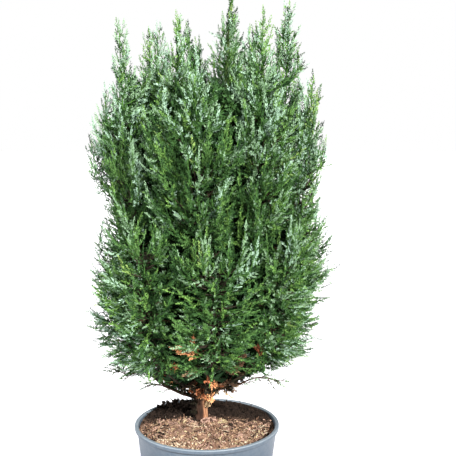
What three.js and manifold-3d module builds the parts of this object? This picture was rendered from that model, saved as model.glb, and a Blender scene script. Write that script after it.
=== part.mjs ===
// A dwarf columnar cypress in its nursery pot, about 60 cm tall in all: a short trunk that forks low into many
// steep boughs, each with its own flame of feathery foliage, over a skirt of lower, wider masses.
// Millimetres, +Z up. The origin is the centre of the pot's flat underside, and -Y is the front.
import * as THREE from "three";
import { mergeVertices } from "three/addons/utils/BufferGeometryUtils.js";
import Module from "manifold-3d";

const wasm = await Module();
wasm.setup();

// Gap between pieces that touch
const GAP = 0.3;

// Pot
const POT_HEIGHT = 136;
const POT_TOP_RADIUS = 80;
const POT_FOOT_RADIUS = 61;
const POT_WALL = 2;
const POT_FLOOR = 3;
const POT_SIDES = 32;
const FOOT_BEVEL = 1.5;
const RIM_DROP = 5;
const RIM_STEP = 2.5;
const DRAIN_HOLES = 8;
const DRAIN_RADIUS = 5;
const DRAIN_CIRCLE = 46;
const DRAIN_SIDES = 8;

// Soil: its rings are shares of the way from the trunk's foot to the pot's wall
const SOIL_EDGE = 129;
const SOIL_PEAK = 137;
const SOIL_RINGS = [1, 0.72, 0.45, 0.2, 0];
const MOUND_FLAT = 16;
const MOUND_RUN = 62;
const SOIL_LUMP = 1.5;

// Trunk
const TRUNK_FOOT = [-6, 8];
const TRUNK_POINTS = [
  [-4, 8, 190],
  [2, 5, 290],
  [14, 1, 420],
  [22, -2, 520],
  [25, -4, 582],
];
const TRUNK_RADIUS = 6.4;
const TRUNK_TIP_RADIUS = 1;
const TRUNK_SIDES = 10;
const TRUNK_RINGS = 15;
const TRUNK_SUNK = 5;
const FLARE = 3.6;
const FLARE_HEIGHT = 16;
const FLARE_LOBES = 5;
const FLARE_DEPTH = 0.3;

// Boughs. Each row is the heading in degrees from +X round the crown's centre, how far out the tip is,
// the tip's height, and the height of the fork on the trunk.
const CROWN_CENTRE = [2, 0];
const OUTER_BOUGHS = {
  right: [-10, 110, 522, 178],
  right_back: [25, 97, 598, 192],
  back_right: [61, 95, 574, 170],
  back: [97, 94, 562, 186],
  back_left: [134, 96, 570, 172],
  left: [174, 110, 510, 184],
  front_left: [208, 98, 572, 174],
  front: [264, 88, 543, 190],
  front_right: [309, 88, 582, 176],
};
const INNER_BOUGHS = {
  inner_left: [170, 54, 574, 226],
  inner_front: [243, 64, 580, 208],
  inner_right: [4, 50, 558, 238],
  inner_back: [58, 48, 580, 222],
  inner_back_left: [116, 50, 577, 234],
};
const LOW_BOUGHS = {
  low_right: [2, 102, 340, 170],
  low_right_back: [46, 99, 352, 162],
  low_back: [90, 101, 336, 172],
  low_back_left: [136, 99, 350, 164],
  low_left: [184, 104, 334, 161],
  low_front_left: [230, 98, 346, 173],
  low_front: [276, 97, 334, 178],
  low_front_right: [321, 98, 342, 176],
};
const OUTER_THICK = 3.6;
const INNER_THICK = 2.9;
const LOW_THICK = 2.6;
const BOUGH_TIP = 1.7;
const BOUGH_SIDES = 6;
const BOUGH_RINGS = 3;

// Masses of foliage: the widest radius, the core's share of it, the core's rings and sides, the number of
// sprays, the share of the line where the bough ends, how steeply the sprays rise at the mass's foot and at
// its tip, the length and power of the taper to the tip, where the core stops, and the last spray's length.
// The bends are the line's two inner points, as shares of the way out and of the rise.
const FLAME = {
  radius: 52,
  coreShare: 0.54,
  rings: 8,
  sides: 6,
  sprays: 18,
  enters: 0.12,
  lift: [1.1, 2],
  taperRun: 300,
  taperPower: 0.6,
  coreStops: 34,
  lastSpray: 56,
  bends: [
    [0.6, 0.06],
    [0.96, 0.34],
  ],
};
const LOW = {
  radius: 48,
  coreShare: 0.54,
  rings: 6,
  sides: 6,
  sprays: 15,
  enters: 0.17,
  lift: [0.5, 1.4],
  taperRun: 90,
  taperPower: 0.5,
  coreStops: 18,
  lastSpray: 32,
  bends: [
    [0.62, 0.1],
    [0.98, 0.3],
  ],
};
const LEADER_FROM = 0.36;
const LEADER_OVER = 22;
const OPENING_START = 0.45;
const OPENING_RUN = 70;
const CORE_START = 5;
const STEM_RUN = 24;
const CORE_CLEAR = 2;
const SPRAY_CLEAR = 0.8;
const LIMB_CLEAR = 1.5;
const FARTHEST = 70;

// The underside of the crown rises outwards, and no spray is made deep inside, where it wouldn't show.
const CROWN_FLOOR = 163;
const CROWN_FLOOR_RISE = 0.5;
const CROWN_FLOOR_FROM = 24;
const INSIDE_RADIUS = 60;
const INSIDE_TOP = 430;

// Sprays: half widths, how deep the root is sunk, and how far apart their middles stay. A spray's half
// outline runs from its root to its tip, as shares of the half width and of the length.
const SPRAY_WIDTHS = [9, 13];
const SPRAY_SLIM = 0.28;
const SPRAY_SUNK = 14;
const SPRAY_APART = 21;
const SPRAY_LEAST = 8;
const LAST_SPRAY_WIDTH = 6.5;
const ONE_TOOTH = [
  [1, 0.55],
  [0.42, 0.61],
];
const TWO_TEETH = [
  [0.85, 0.41],
  [0.36, 0.47],
  [0.55, 0.69],
  [0.23, 0.75],
];
// Two irrational steps, which spread points evenly along a line and round it
const STEP_ALONG = 0.7548776662;
const STEP_ROUND = 0.569840291;

const MATERIALS = {
  pot: new THREE.MeshStandardMaterial({ color: 0x5d7285, roughness: 0.5, metalness: 0 }),
  soil: new THREE.MeshStandardMaterial({ color: 0x7a5c48, roughness: 0.95, metalness: 0 }),
  bark: new THREE.MeshStandardMaterial({ color: 0x6b4632, roughness: 0.9, metalness: 0 }),
  foliage: new THREE.MeshStandardMaterial({ color: 0x3f6b47, roughness: 0.8, metalness: 0 }),
};

const vec = (x, y, z) => new THREE.Vector3(x, y, z);
const mix = THREE.MathUtils.lerp;
const smooth = (t) => THREE.MathUtils.smoothstep(t, 0, 1);
const clampShare = (t) => THREE.MathUtils.clamp(t, 0, 1);

// Numbers from 0 to 1 in an order that the seed fixes
function seeded(seed) {
  let state = seed >>> 0;
  return () => {
    state = (state + 0x6d2b79f5) >>> 0;
    let t = Math.imul(state ^ (state >>> 15), 1 | state);
    t = (t + Math.imul(t ^ (t >>> 7), 61 | t)) ^ t;
    return ((t ^ (t >>> 14)) >>> 0) / 2 ** 32;
  };
}

// Solids and meshes
function solidOf(geometry) {
  const bare = geometry.clone();
  bare.deleteAttribute("normal");
  bare.deleteAttribute("uv");
  const merged = mergeVertices(bare, 1e-4);
  return new wasm.Manifold(
    new wasm.Mesh({
      numProp: 3,
      vertProperties: new Float32Array(merged.attributes.position.array),
      triVerts: new Uint32Array(merged.index.array),
    }),
  );
}

function largestBody(solid) {
  return solid.decompose().reduce((a, b) => (b.volume() > a.volume() ? b : a));
}

function meshOf(name, solid, material) {
  const made = solid.getMesh();
  const shared = new THREE.BufferGeometry();
  shared.setAttribute("position", new THREE.BufferAttribute(made.vertProperties, 3));
  shared.setIndex(new THREE.BufferAttribute(made.triVerts, 1));
  const geometry = shared.toNonIndexed();
  geometry.computeVertexNormals();
  const mesh = new THREE.Mesh(geometry, material);
  mesh.name = name;
  return mesh;
}

// Moves every vertex of a shape by a rule, and gives the solid
function warped(geometry, rule) {
  const places = geometry.attributes.position;
  for (let i = 0; i < places.count; i++) {
    const to = rule(vec().fromBufferAttribute(places, i));
    places.setXYZ(i, to.x, to.y, to.z);
  }
  return solidOf(geometry);
}

// A line that a limb or a mass follows. Its frame stays steady: "out" lies in the bough's own upright plane.
class Axis {
  constructor(curve, heading) {
    this.curve = curve;
    this.length = curve.getLength();
    this.sideways = vec(-Math.sin(heading), Math.cos(heading), 0);
  }
  at(share) {
    return this.curve.getPointAt(clampShare(share));
  }
  frame(share) {
    const along = this.curve.getTangentAt(clampShare(share));
    const out = vec().crossVectors(this.sideways, along).normalize();
    return { along, out, across: vec().crossVectors(along, out).normalize() };
  }
}

// A way square to the line, turned round it by an angle
function sideWay({ out, across }, angle) {
  return out
    .clone()
    .multiplyScalar(Math.cos(angle))
    .addScaledVector(across, -Math.sin(angle));
}

// A tapering limb: a capped cylinder bent along its axis between two shares of its length
function limb(axis, from, to, radiusAt, sides, rings) {
  return warped(new THREE.CylinderGeometry(1, 1, 1, sides, rings), (p) => {
    const share = mix(from, to, p.y + 0.5);
    const angle = Math.atan2(p.z, p.x);
    const radius = radiusAt(share, angle) * Math.hypot(p.x, p.z);
    return axis.at(share).addScaledVector(sideWay(axis.frame(share), angle), radius);
  });
}

// Pot: a tapered shell with a thicker lip and drain holes in its flat floor
function pot() {
  const bodyTop = POT_TOP_RADIUS - RIM_STEP;
  const rimFoot = POT_HEIGHT - RIM_DROP;
  const at = (x, y) => new THREE.Vector2(x, y);
  const profile = [
    at(0, 0),
    at(POT_FOOT_RADIUS - FOOT_BEVEL, 0),
    at(POT_FOOT_RADIUS, FOOT_BEVEL),
    at(bodyTop, rimFoot),
    at(POT_TOP_RADIUS, rimFoot + 1),
    at(POT_TOP_RADIUS, POT_HEIGHT - 1),
    at(POT_TOP_RADIUS - 1, POT_HEIGHT),
    at(bodyTop - POT_WALL + 0.6, POT_HEIGHT),
    at(bodyTop - POT_WALL, rimFoot),
    at(POT_FOOT_RADIUS - POT_WALL, POT_FLOOR),
    at(0, POT_FLOOR),
  ];
  let made = solidOf(new THREE.LatheGeometry(profile, POT_SIDES).rotateX(Math.PI / 2));
  for (let k = 0; k < DRAIN_HOLES; k++) {
    const turn = (2 * Math.PI * (k + 0.5)) / DRAIN_HOLES;
    const drill = new THREE.CylinderGeometry(DRAIN_RADIUS, DRAIN_RADIUS, 3 * POT_FLOOR, DRAIN_SIDES);
    drill.rotateX(Math.PI / 2);
    drill.translate(DRAIN_CIRCLE * Math.cos(turn), DRAIN_CIRCLE * Math.sin(turn), 0);
    made = made.subtract(solidOf(drill));
  }
  return made;
}

function potInsideRadius(z) {
  const share = (z - POT_FLOOR) / (POT_HEIGHT - RIM_DROP - POT_FLOOR);
  return mix(POT_FOOT_RADIUS - POT_WALL, POT_TOP_RADIUS - RIM_STEP - POT_WALL, share);
}

// Soil: fills the pot, rises to a mound at the trunk's foot, and is level under the trunk
function soil() {
  const random = seeded(5);
  const floorZ = POT_FLOOR + GAP;
  const floorRadius = potInsideRadius(floorZ) - GAP;
  const edgeRadius = potInsideRadius(SOIL_EDGE) - GAP;
  const profile = [new THREE.Vector2(0, 0), new THREE.Vector2(1, 0)];
  for (const share of SOIL_RINGS) profile.push(new THREE.Vector2(share, 1));
  const lumps = new Map();
  return warped(new THREE.LatheGeometry(profile, POT_SIDES).rotateX(Math.PI / 2), (p) => {
    if (p.z < 0.5) return vec(p.x * floorRadius, p.y * floorRadius, floorZ);
    const share = Math.hypot(p.x, p.y);
    const x = mix(TRUNK_FOOT[0], 0, share) + p.x * edgeRadius;
    const y = mix(TRUNK_FOOT[1], 0, share) + p.y * edgeRadius;
    const away = Math.hypot(x - TRUNK_FOOT[0], y - TRUNK_FOOT[1]);
    const key = `${x.toFixed(1)} ${y.toFixed(1)}`;
    const lumpy = share > 0.3 && share < 0.95;
    if (!lumps.has(key)) lumps.set(key, lumpy ? SOIL_LUMP * (2 * random() - 1) : 0);
    return vec(x, y, mix(SOIL_PEAK, SOIL_EDGE, smooth((away - MOUND_FLAT) / MOUND_RUN)) + lumps.get(key));
  });
}

// Trunk: leans a little, tapers to its tip, and spreads into root lobes at the soil
const footZ = SOIL_PEAK + GAP;
const trunkAxis = new Axis(
  new THREE.CatmullRomCurve3([
    vec(...TRUNK_FOOT, footZ - TRUNK_SUNK),
    vec(...TRUNK_FOOT, footZ),
    ...TRUNK_POINTS.map((p) => vec(...p)),
  ]),
  0,
);

function trunkRadius(share, angle = 0) {
  const height = share * trunkAxis.length;
  const lobes = 1 + FLARE_DEPTH * Math.cos(FLARE_LOBES * angle + 0.6);
  const flare = FLARE * Math.exp(-height / FLARE_HEIGHT) * lobes;
  return mix(TRUNK_RADIUS, TRUNK_TIP_RADIUS, share ** 0.85) + flare;
}

// Where the trunk's axis passes a height, as a share of its length
function trunkShareAt(z) {
  let low = 0;
  let high = 1;
  for (let step = 0; step < 24; step++) {
    const middle = (low + high) / 2;
    if (trunkAxis.at(middle).z < z) low = middle;
    else high = middle;
  }
  return low;
}

// The line starts below the foot, so that the level cut leaves a flat face.
function trunk(grown) {
  const radiusAt = (share, angle) => trunkRadius(share, angle) + grown;
  const end = 1 + grown / trunkAxis.length;
  const made = limb(trunkAxis, 0, end, radiusAt, TRUNK_SIDES, TRUNK_RINGS);
  return made.trimByPlane([0, 0, 1], footZ - grown);
}

// The line of a bough and of the mass that goes on from it
function boughAxis([heading, reach, top, fork], bends) {
  const turn = THREE.MathUtils.degToRad(heading);
  const start = trunkAxis.at(trunkShareAt(fork));
  const tip = vec(
    CROWN_CENTRE[0] + reach * Math.cos(turn),
    CROWN_CENTRE[1] + reach * Math.sin(turn),
    top,
  );
  const way = vec(tip.x - start.x, tip.y - start.y, 0);
  const [leaving, ending] = bends.map(([out, up]) =>
    start.clone().addScaledVector(way, out).add(vec(0, 0, up * (top - fork))),
  );
  return new Axis(new THREE.CubicBezierCurve3(start, leaving, ending, tip), Math.atan2(way.y, way.x));
}

const branches = [];
function addBranches(table, shape, thick) {
  for (const [name, row] of Object.entries(table)) {
    branches.push({ name, shape, thick, axis: boughAxis(row, shape.bends), from: shape.enters });
  }
}
addBranches(OUTER_BOUGHS, FLAME, OUTER_THICK);
addBranches(INNER_BOUGHS, FLAME, INNER_THICK);
addBranches(LOW_BOUGHS, LOW, LOW_THICK);
branches.push({ name: "leader", shape: FLAME, axis: trunkAxis, from: LEADER_FROM, leader: true });

// Each mass's line as short straight steps, with how far along it each step starts
const LINE_STEPS = 22;
for (const branch of branches) {
  const { axis, from } = branch;
  branch.line = [];
  for (let k = 0; k <= LINE_STEPS; k++) branch.line.push(axis.at(mix(from, 1, k / LINE_STEPS)));
  if (branch.leader) branch.line.push(axis.at(1).addScaledVector(axis.frame(1).along, LEADER_OVER));
  branch.run = 0;
  branch.marks = branch.line.map((p, k) => {
    if (k > 0) branch.run += p.distanceTo(branch.line[k - 1]);
    return branch.run;
  });
}

// The place on a mass's line at a distance along it, with the line's frame there
function placeOn(branch, distance) {
  const { line, marks, axis, from } = branch;
  let k = 1;
  while (k < line.length - 1 && marks[k] < distance) k++;
  const t = (distance - marks[k - 1]) / (marks[k] - marks[k - 1]);
  const share = clampShare((k - 1 + t) / LINE_STEPS);
  return { place: line[k - 1].clone().lerp(line[k], t), ...axis.frame(mix(from, 1, share)) };
}

// How far a point is from a mass's line, and how far along the line the nearest place is
function nearest({ line, marks }, p) {
  let best = Infinity;
  let distance = 0;
  for (let k = 1; k < line.length; k++) {
    const a = line[k - 1];
    const b = line[k];
    const [dx, dy, dz] = [b.x - a.x, b.y - a.y, b.z - a.z];
    const size = dx * dx + dy * dy + dz * dz;
    const t = clampShare(((p.x - a.x) * dx + (p.y - a.y) * dy + (p.z - a.z) * dz) / size);
    const [ox, oy, oz] = [p.x - a.x - t * dx, p.y - a.y - t * dy, p.z - a.z - t * dz];
    const off = ox * ox + oy * oy + oz * oz;
    if (off < best) {
      best = off;
      distance = marks[k - 1] + t * Math.sqrt(size);
    }
  }
  return { off: Math.sqrt(best), distance };
}

// How wide a mass may be at a distance along its line: it opens from the bough's tip and narrows to its own
function spread({ shape, run }, distance) {
  const opening = mix(OPENING_START, 1, smooth(distance / OPENING_RUN));
  const taper = Math.min(1, Math.max(0, (run - distance) / shape.taperRun) ** shape.taperPower);
  return shape.radius * opening * taper;
}

function awayFromCentre(p) {
  return Math.hypot(p.x - CROWN_CENTRE[0], p.y - CROWN_CENTRE[1]);
}

// Whether a point lies in a mass's own space: nearer its line than any other by a margin, and not too far off
function inSpace(branch, p, margin, share = 1) {
  const underside = CROWN_FLOOR + CROWN_FLOOR_RISE * Math.max(0, awayFromCentre(p) - CROWN_FLOOR_FROM);
  if (p.z < underside) return false;
  const own = nearest(branch, p);
  if (own.off > share * spread(branch, own.distance)) return false;
  return branches.every((other) => other === branch || nearest(other, p).off > own.off + 2 * margin);
}

// How far a straight way from a point stays in the mass's space
function room(branch, from, way, margin, share = 1) {
  const step = 2;
  const p = from.clone();
  let gone = 0;
  while (gone < FARTHEST) {
    p.addScaledVector(way, step);
    if (!inSpace(branch, p, margin, share)) break;
    gone += step;
  }
  return gone;
}

// The dense inside of a mass: a sphere drawn out along the line, as wide at each place as its room allows
function core(branch) {
  const { shape, run } = branch;
  const start = branch.leader ? 0 : CORE_START;
  const end = run - shape.coreStops;
  return warped(new THREE.SphereGeometry(1, shape.sides, shape.rings), (p) => {
    const share = Math.acos(THREE.MathUtils.clamp(p.y, -1, 1)) / Math.PI;
    const spot = placeOn(branch, mix(end, start, share));
    if (Math.hypot(p.x, p.z) < 1e-6) return spot.place;
    const way = sideWay(spot, Math.atan2(p.z, p.x));
    const radius = Math.max(1.5, room(branch, spot.place, way, CORE_CLEAR, shape.coreShare));
    return spot.place.addScaledVector(way, radius);
  });
}

// A flat spray of foliage: a thin lens with a toothed rim
function spray(root, way, flat, length, halfWidth, halfOutline) {
  const mirrored = halfOutline.map(([x, y]) => [-x, y]).reverse();
  const rim = [[0, 0], ...halfOutline, [0, 1], ...mirrored];
  const halfThick = 0.08 * halfWidth + 0.6;
  const normal = vec().crossVectors(way, flat).normalize();
  const points = [];
  const solid = warped(new THREE.SphereGeometry(1, rim.length, 2), (p) => {
    const place = root.clone();
    if (Math.abs(p.y) > 0.5) {
      place.addScaledVector(way, 0.45 * length).addScaledVector(normal, Math.sign(p.y) * halfThick);
    } else {
      const turn = Math.atan2(p.z, p.x) / (2 * Math.PI) + 1;
      const [x, y] = rim[Math.round(turn * rim.length) % rim.length];
      place.addScaledVector(flat, x * halfWidth).addScaledVector(way, y * length);
    }
    points.push(place);
    return place;
  });
  return { solid, points };
}

// Lines and radii of the trunk and boughs, which sprays keep clear of
const limbs = [];
function noteLimb(axis, to, radiusAt) {
  const count = Math.ceil((to * axis.length) / 4);
  const rows = Array.from({ length: count + 1 }, (_, k) => (to * k) / count);
  limbs.push(...rows.map((share) => ({ place: axis.at(share), radius: radiusAt(share) })));
}

function clearOfLimbs(p) {
  return limbs.every(({ place, radius }) => place.distanceTo(p) > radius + LIMB_CLEAR);
}

function deepInside(p) {
  return awayFromCentre(p) < INSIDE_RADIUS && p.z < INSIDE_TOP;
}

// The sprays that stand out of a core. One that would leave the space or touch a limb is made shorter, and
// left out if it would no longer show.
function sprays(branch, random) {
  const { shape, run } = branch;
  const found = [];
  for (let k = 1; k < 6 * shape.sprays && found.length < shape.sprays; k++) {
    const share = (k * STEP_ALONG) % 1;
    const spot = placeOn(branch, run * share);
    const side = sideWay(spot, -2 * Math.PI * ((k * STEP_ROUND) % 1));
    const lift = mix(...shape.lift, share) + 0.3 * random();
    const way = side.clone().addScaledVector(spot.along, lift).normalize();
    const reach = room(branch, spot.place, way, 1.2);
    const inner = room(branch, spot.place, way, CORE_CLEAR, shape.coreShare);
    const start = Math.max(0, inner - SPRAY_SUNK);
    const width = mix(...SPRAY_WIDTHS, random());
    const twist = 1.8 * (random() - 0.5);
    const flat = vec().crossVectors(way, side).applyAxisAngle(way, twist).normalize();
    const root = spot.place.clone().addScaledVector(way, start);
    for (let length = reach - start; length > inner - start + SPRAY_LEAST; length *= 0.85) {
      const made = spray(root, way, flat, length, Math.min(width, length * SPRAY_SLIM), ONE_TOOTH);
      const middle = root.clone().addScaledVector(way, length / 2);
      const good =
        !deepInside(middle) &&
        made.points.every((p) => inSpace(branch, p, SPRAY_CLEAR) && clearOfLimbs(p)) &&
        found.every((other) => other.middle.distanceTo(middle) > SPRAY_APART);
      if (good) {
        found.push({ solid: made.solid, middle });
        break;
      }
    }
  }
  return found.map((one) => one.solid);
}

// The spray that ends a mass, along the last of its line
function lastSpray(branch, random) {
  const { shape, line, run } = branch;
  const { place, along, out } = placeOn(branch, run - shape.lastSpray);
  const way = line[line.length - 1].clone().sub(place).normalize();
  const flat = out.applyAxisAngle(along, 3 * random());
  flat.addScaledVector(way, -flat.dot(way)).normalize();
  return spray(place, way, flat, shape.lastSpray - 0.5, LAST_SPRAY_WIDTH, TWO_TEETH).solid;
}

// The trunk and the boughs, each with a copy grown by the gap, which cuts its neighbours clear
const trunkSolid = trunk(0);
const trunkGrown = trunk(GAP);
noteLimb(trunkAxis, 1, trunkRadius);
const boughs = [];
for (const { name, axis, from, thick, leader } of branches) {
  if (leader) continue;
  const radiusAt = (share) => mix(thick, BOUGH_TIP, share / from);
  const grownAt = (share) => radiusAt(share) + GAP;
  let solid = limb(axis, 0, from, radiusAt, BOUGH_SIDES, BOUGH_RINGS).subtract(trunkGrown);
  for (const other of boughs) solid = solid.subtract(other.grown);
  const grown = limb(axis, 0, from + GAP / axis.length, grownAt, BOUGH_SIDES, BOUGH_RINGS);
  boughs.push({ name, solid: largestBody(solid), grown });
  noteLimb(axis, from, radiusAt);
}

// One mass: a stem that goes on from the bough's tip, the core and the sprays, cut clear of the limbs
function mass(branch, seed) {
  const random = seeded(seed);
  const { axis, from, leader } = branch;
  let made = core(branch);
  if (!leader) {
    const stemFrom = from + GAP / axis.length;
    const stemTo = from + STEM_RUN / axis.length;
    made = made.add(limb(axis, stemFrom, stemTo, () => 0.95 * BOUGH_TIP, BOUGH_SIDES, 2));
  }
  for (const one of sprays(branch, random)) made = made.add(one);
  made = made.add(lastSpray(branch, random)).subtract(trunkGrown);
  for (const { grown } of boughs) {
    if (made.intersect(grown).volume() > 0) made = made.subtract(grown);
  }
  return largestBody(made);
}

const plant = new THREE.Group();
plant.add(meshOf("pot", pot(), MATERIALS.pot));
plant.add(meshOf("soil", soil(), MATERIALS.soil));
plant.add(meshOf("trunk", trunkSolid, MATERIALS.bark));
for (const { name, solid } of boughs) plant.add(meshOf(`bough_${name}`, solid, MATERIALS.bark));
branches.forEach((branch, index) => {
  plant.add(meshOf(`foliage_${branch.name}`, mass(branch, 100 + index), MATERIALS.foliage));
});

export default plant;
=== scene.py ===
"""Looks of the potted cypress: the pot, the compost and its bark chips, the bark, and the living foliage.

Metres, +Z up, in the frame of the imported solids. The crown grows from the same table of boughs and by the
same rule as the solids, and is carried on here to shoots, feathers, branchlets and needles.
"""

import math

import bmesh
import bpy
import numpy as np
from mathutils import Matrix, Vector, noise
from mathutils.kdtree import KDTree


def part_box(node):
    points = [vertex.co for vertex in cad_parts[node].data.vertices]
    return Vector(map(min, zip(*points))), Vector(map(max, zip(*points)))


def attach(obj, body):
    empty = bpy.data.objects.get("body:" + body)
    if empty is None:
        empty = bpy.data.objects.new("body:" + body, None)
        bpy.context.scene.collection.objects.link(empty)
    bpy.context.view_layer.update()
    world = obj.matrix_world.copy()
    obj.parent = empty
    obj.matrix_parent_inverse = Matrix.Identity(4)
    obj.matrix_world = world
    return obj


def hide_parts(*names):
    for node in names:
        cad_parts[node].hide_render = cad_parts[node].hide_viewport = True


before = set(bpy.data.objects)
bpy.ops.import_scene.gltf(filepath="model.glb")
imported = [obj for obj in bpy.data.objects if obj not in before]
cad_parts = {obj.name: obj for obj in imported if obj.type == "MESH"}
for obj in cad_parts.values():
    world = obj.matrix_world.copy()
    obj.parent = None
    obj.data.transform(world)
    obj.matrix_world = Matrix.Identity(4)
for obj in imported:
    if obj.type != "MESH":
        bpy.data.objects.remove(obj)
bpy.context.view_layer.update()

bl_info = {
    "name": "Potted Cypress",
    "version": (1, 0, 0),
    "blender": (4, 5, 0),
    "location": "View3D > Sidebar > Cypress",
    "description": "A dwarf columnar cypress in its nursery pot, with a studio stage",
    "category": "Add Mesh",
}

MM = 0.001
POT_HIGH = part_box("pot")[1]

# Seeds of the random draws
COMPOST_SEED, FOLIAGE_SEED, BASE_SEED = 21, 5, 12

# The camera: where it stands, how far it tilts up from straight down, in degrees, and its lens
CAMERA_PLACE, CAMERA_TILT, CAMERA_LENS = (0.0234, -0.970, 0.507), 81.1, 72.08

# Trunk line, as in the solids
TRUNK_FOOT = (-6, 8)
TRUNK_FOOT_HEIGHT = 137.3
TRUNK_SUNK = 5
TRUNK_RADIUS, TRUNK_TIP = 0.0054, 0.001
TRUNK_POINTS = [(-4, 8, 190), (2, 5, 290), (14, 1, 420), (22, -2, 520), (25, -4, 582)]

# Boughs: heading in degrees, reach from the crown's centre, height of the tip, height of the fork
CROWN_CENTRE = (2, 0)
OUTER_BOUGHS = {
    "right": (-10, 110, 522, 178),
    "right_back": (25, 97, 598, 192),
    "back_right": (61, 95, 574, 170),
    "back": (97, 94, 562, 186),
    "back_left": (134, 96, 570, 172),
    "left": (174, 110, 510, 184),
    "front_left": (208, 98, 572, 174),
    "front": (264, 88, 543, 190),
    "front_right": (309, 88, 582, 176),
}
INNER_BOUGHS = {
    "inner_left": (170, 54, 574, 226),
    "inner_front": (243, 64, 580, 208),
    "inner_right": (4, 50, 558, 238),
    "inner_back": (58, 48, 580, 222),
    "inner_back_left": (116, 50, 577, 234),
}
LOW_BOUGHS = {
    "low_right": (2, 102, 340, 170),
    "low_right_back": (46, 99, 352, 162),
    "low_back": (90, 101, 336, 172),
    "low_back_left": (136, 99, 350, 164),
    "low_left": (184, 104, 334, 161),
    "low_front_left": (230, 98, 346, 173),
    "low_front": (276, 97, 334, 178),
    "low_front_right": (321, 98, 342, 176),
}
FLAME = {
    "radius": 52,
    "enters": 0.12,
    "lift": (1.1, 2.0),
    "taper_run": 300,
    "taper_power": 0.6,
    "spire_width": 0.018,
    "spire_power": 1.0,
    "bends": ((0.6, 0.06), (0.96, 0.34)),
}
LOW = {
    "radius": 48,
    "enters": 0.17,
    "lift": (0.5, 1.4),
    "taper_run": 90,
    "taper_power": 0.5,
    "spire_width": 0.034,
    "spire_power": 0.9,
    "bends": ((0.62, 0.1), (0.98, 0.3)),
}
OUTER_THICK, INNER_THICK, LOW_THICK, BOUGH_TIP = 3.6, 2.9, 2.6, 1.7
LEADER_FROM = 0.36
LEADER_OVER = 22
LINE_STEPS = 22
VALLEY_FILL = 1.25
OPENING_START, OPENING_RUN = 0.45, 70
CROWN_FLOOR_FROM = 24
CROWN_FLOOR, FRONT_FLOOR, BACK_FLOOR = (178, 0.34), (182, 0.45), (168, 0.33)
SUNNY_SIDE, SUNNY_LIFT = (0.6, -0.8), 8
STEP_ALONG, STEP_ROUND = 0.7548776662, 0.569840291

# How many points are measured at once
CHUNK = 4096

# Dead sprays near the trunk: where each ends, and its colour. The dark ones at the trunk's left are dead
# sprays and painted shade as well.
DEAD_SPRAYS = [
    (-3, -10, 188, "orange"),
    (6, -14, 192, "orange"),
    (11, -12, 183, "orange"),
    (3, -13, 177, "orange"),
    (-4, -16, 182, "rust"),
    (-10, -12, 185, "rust"),
    (-15, -8, 175, "rust"),
    (16, -6, 185, "brown"),
    (3, 1, 160, "tan"),
    (-14, 3, 158, "dark"),
    (4, 2, 165, "orange"),
    (-14, 2, 166, "brown"),
    (-1, -8, 168, "orange"),
    (4, -9, 173, "orange"),
    (-4, -13, 177, "orange"),
    (7, -14, 184, "orange"),
    (1, -14, 175, "orange"),
    (4, -15, 189, "orange"),
    (-7, -12, 172, "orange"),
    (1, -16, 186, "orange"),
    (-8, -15, 178, "orange"),
    (8, -8, 187, "orange"),
    (-13, -10, 190, "brown"),
    (-27, -98, 249, "orange"),
    (-10, -106, 262, "rust"),
    (-30, -84, 227, "rust"),
    (-19, -72, 215, "tan"),
    (36, -84, 229, "brown"),
    (39, -88, 239, "brown"),
    (52, -80, 247, "rust"),
    (2, -60, 205, "rust"),
    (9, -62, 201, "orange"),
    (-15, 1, 148, "dark"),
    (33, -6, 181, "tan"),
    (28, -8, 176, "brown"),
    (23, -6, 172, "tan"),
]

DEAD_KINDS = ("orange", "rust", "brown", "tan", "dark")

# Low twigs that arch out under the crown: points that each passes
LOW_TWIGS = [
    [(-25, -6, 170), (-42, -12, 180), (-55, -16, 186), (-66, -18, 183)],
    [(-56, -20, 201), (-69, -24, 205), (-82, -26, 199), (-92, -28, 204), (-103, -30, 208)],
    [(30, -22, 186), (50, -30, 197), (66, -36, 200), (78, -42, 195)],
    [(-22, 34, 182), (-34, 52, 194), (-44, 66, 195)],
    [(34, 30, 180), (52, 46, 190), (68, 56, 189)],
]

# How far out the crown's surface lies at each height
SURFACE_HEIGHTS = (160, 185, 200, 215, 230, 250, 275, 300, 330, 360, 400, 440, 480, 520, 560, 605)
LEFT_RADII = (48, 74, 93, 100, 103, 109, 114, 118, 104, 102, 99, 116, 100, 103, 103, 97)
RIGHT_RADII = (48, 68, 84, 93, 98, 110, 113, 121, 120, 113, 105, 112, 110, 108, 103, 97)
SPIRES_FROM = 518
BODY_TOP, BODY_SPREAD = 452, 30


# Small sums on arrays
def unit(v):
    return v / np.maximum(np.linalg.norm(v, axis=-1, keepdims=True), 1e-12)


def mix(a, b, t):
    return a + (b - a) * t


def smooth(t):
    t = np.clip(t, 0, 1)
    return t * t * (3 - 2 * t)


def turned(way, round_axis, angle):
    """Turns ways round unit axes, which are square to them."""
    angle = np.asarray(angle)[..., None]
    return way * np.cos(angle) + np.cross(round_axis, way) * np.sin(angle)


def square_to(way, hint):
    """The part of a hint that is square to a way."""
    return unit(hint - way * np.sum(hint * way, axis=-1, keepdims=True))


# Lines that limbs and masses follow
class Line:
    """A curve as close points, read by its share of length."""

    def __init__(self, points, heading):
        self.points = points
        steps = np.linalg.norm(np.diff(points, axis=0), axis=1)
        self.marks = np.concatenate([[0], np.cumsum(steps)])
        self.length = self.marks[-1]
        self.sideways = np.array([-math.sin(heading), math.cos(heading), 0])

    def at(self, share):
        gone = np.clip(share, 0, 1) * self.length
        return np.stack([np.interp(gone, self.marks, self.points[:, k]) for k in range(3)], axis=-1)

    def along(self, share):
        share = np.clip(share, 0.002, 0.998)
        return unit(self.at(share + 0.002) - self.at(share - 0.002))

    def frame(self, share):
        along = self.along(share)
        out = unit(np.cross(self.sideways, along))
        return along, out, np.cross(along, out)


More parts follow.
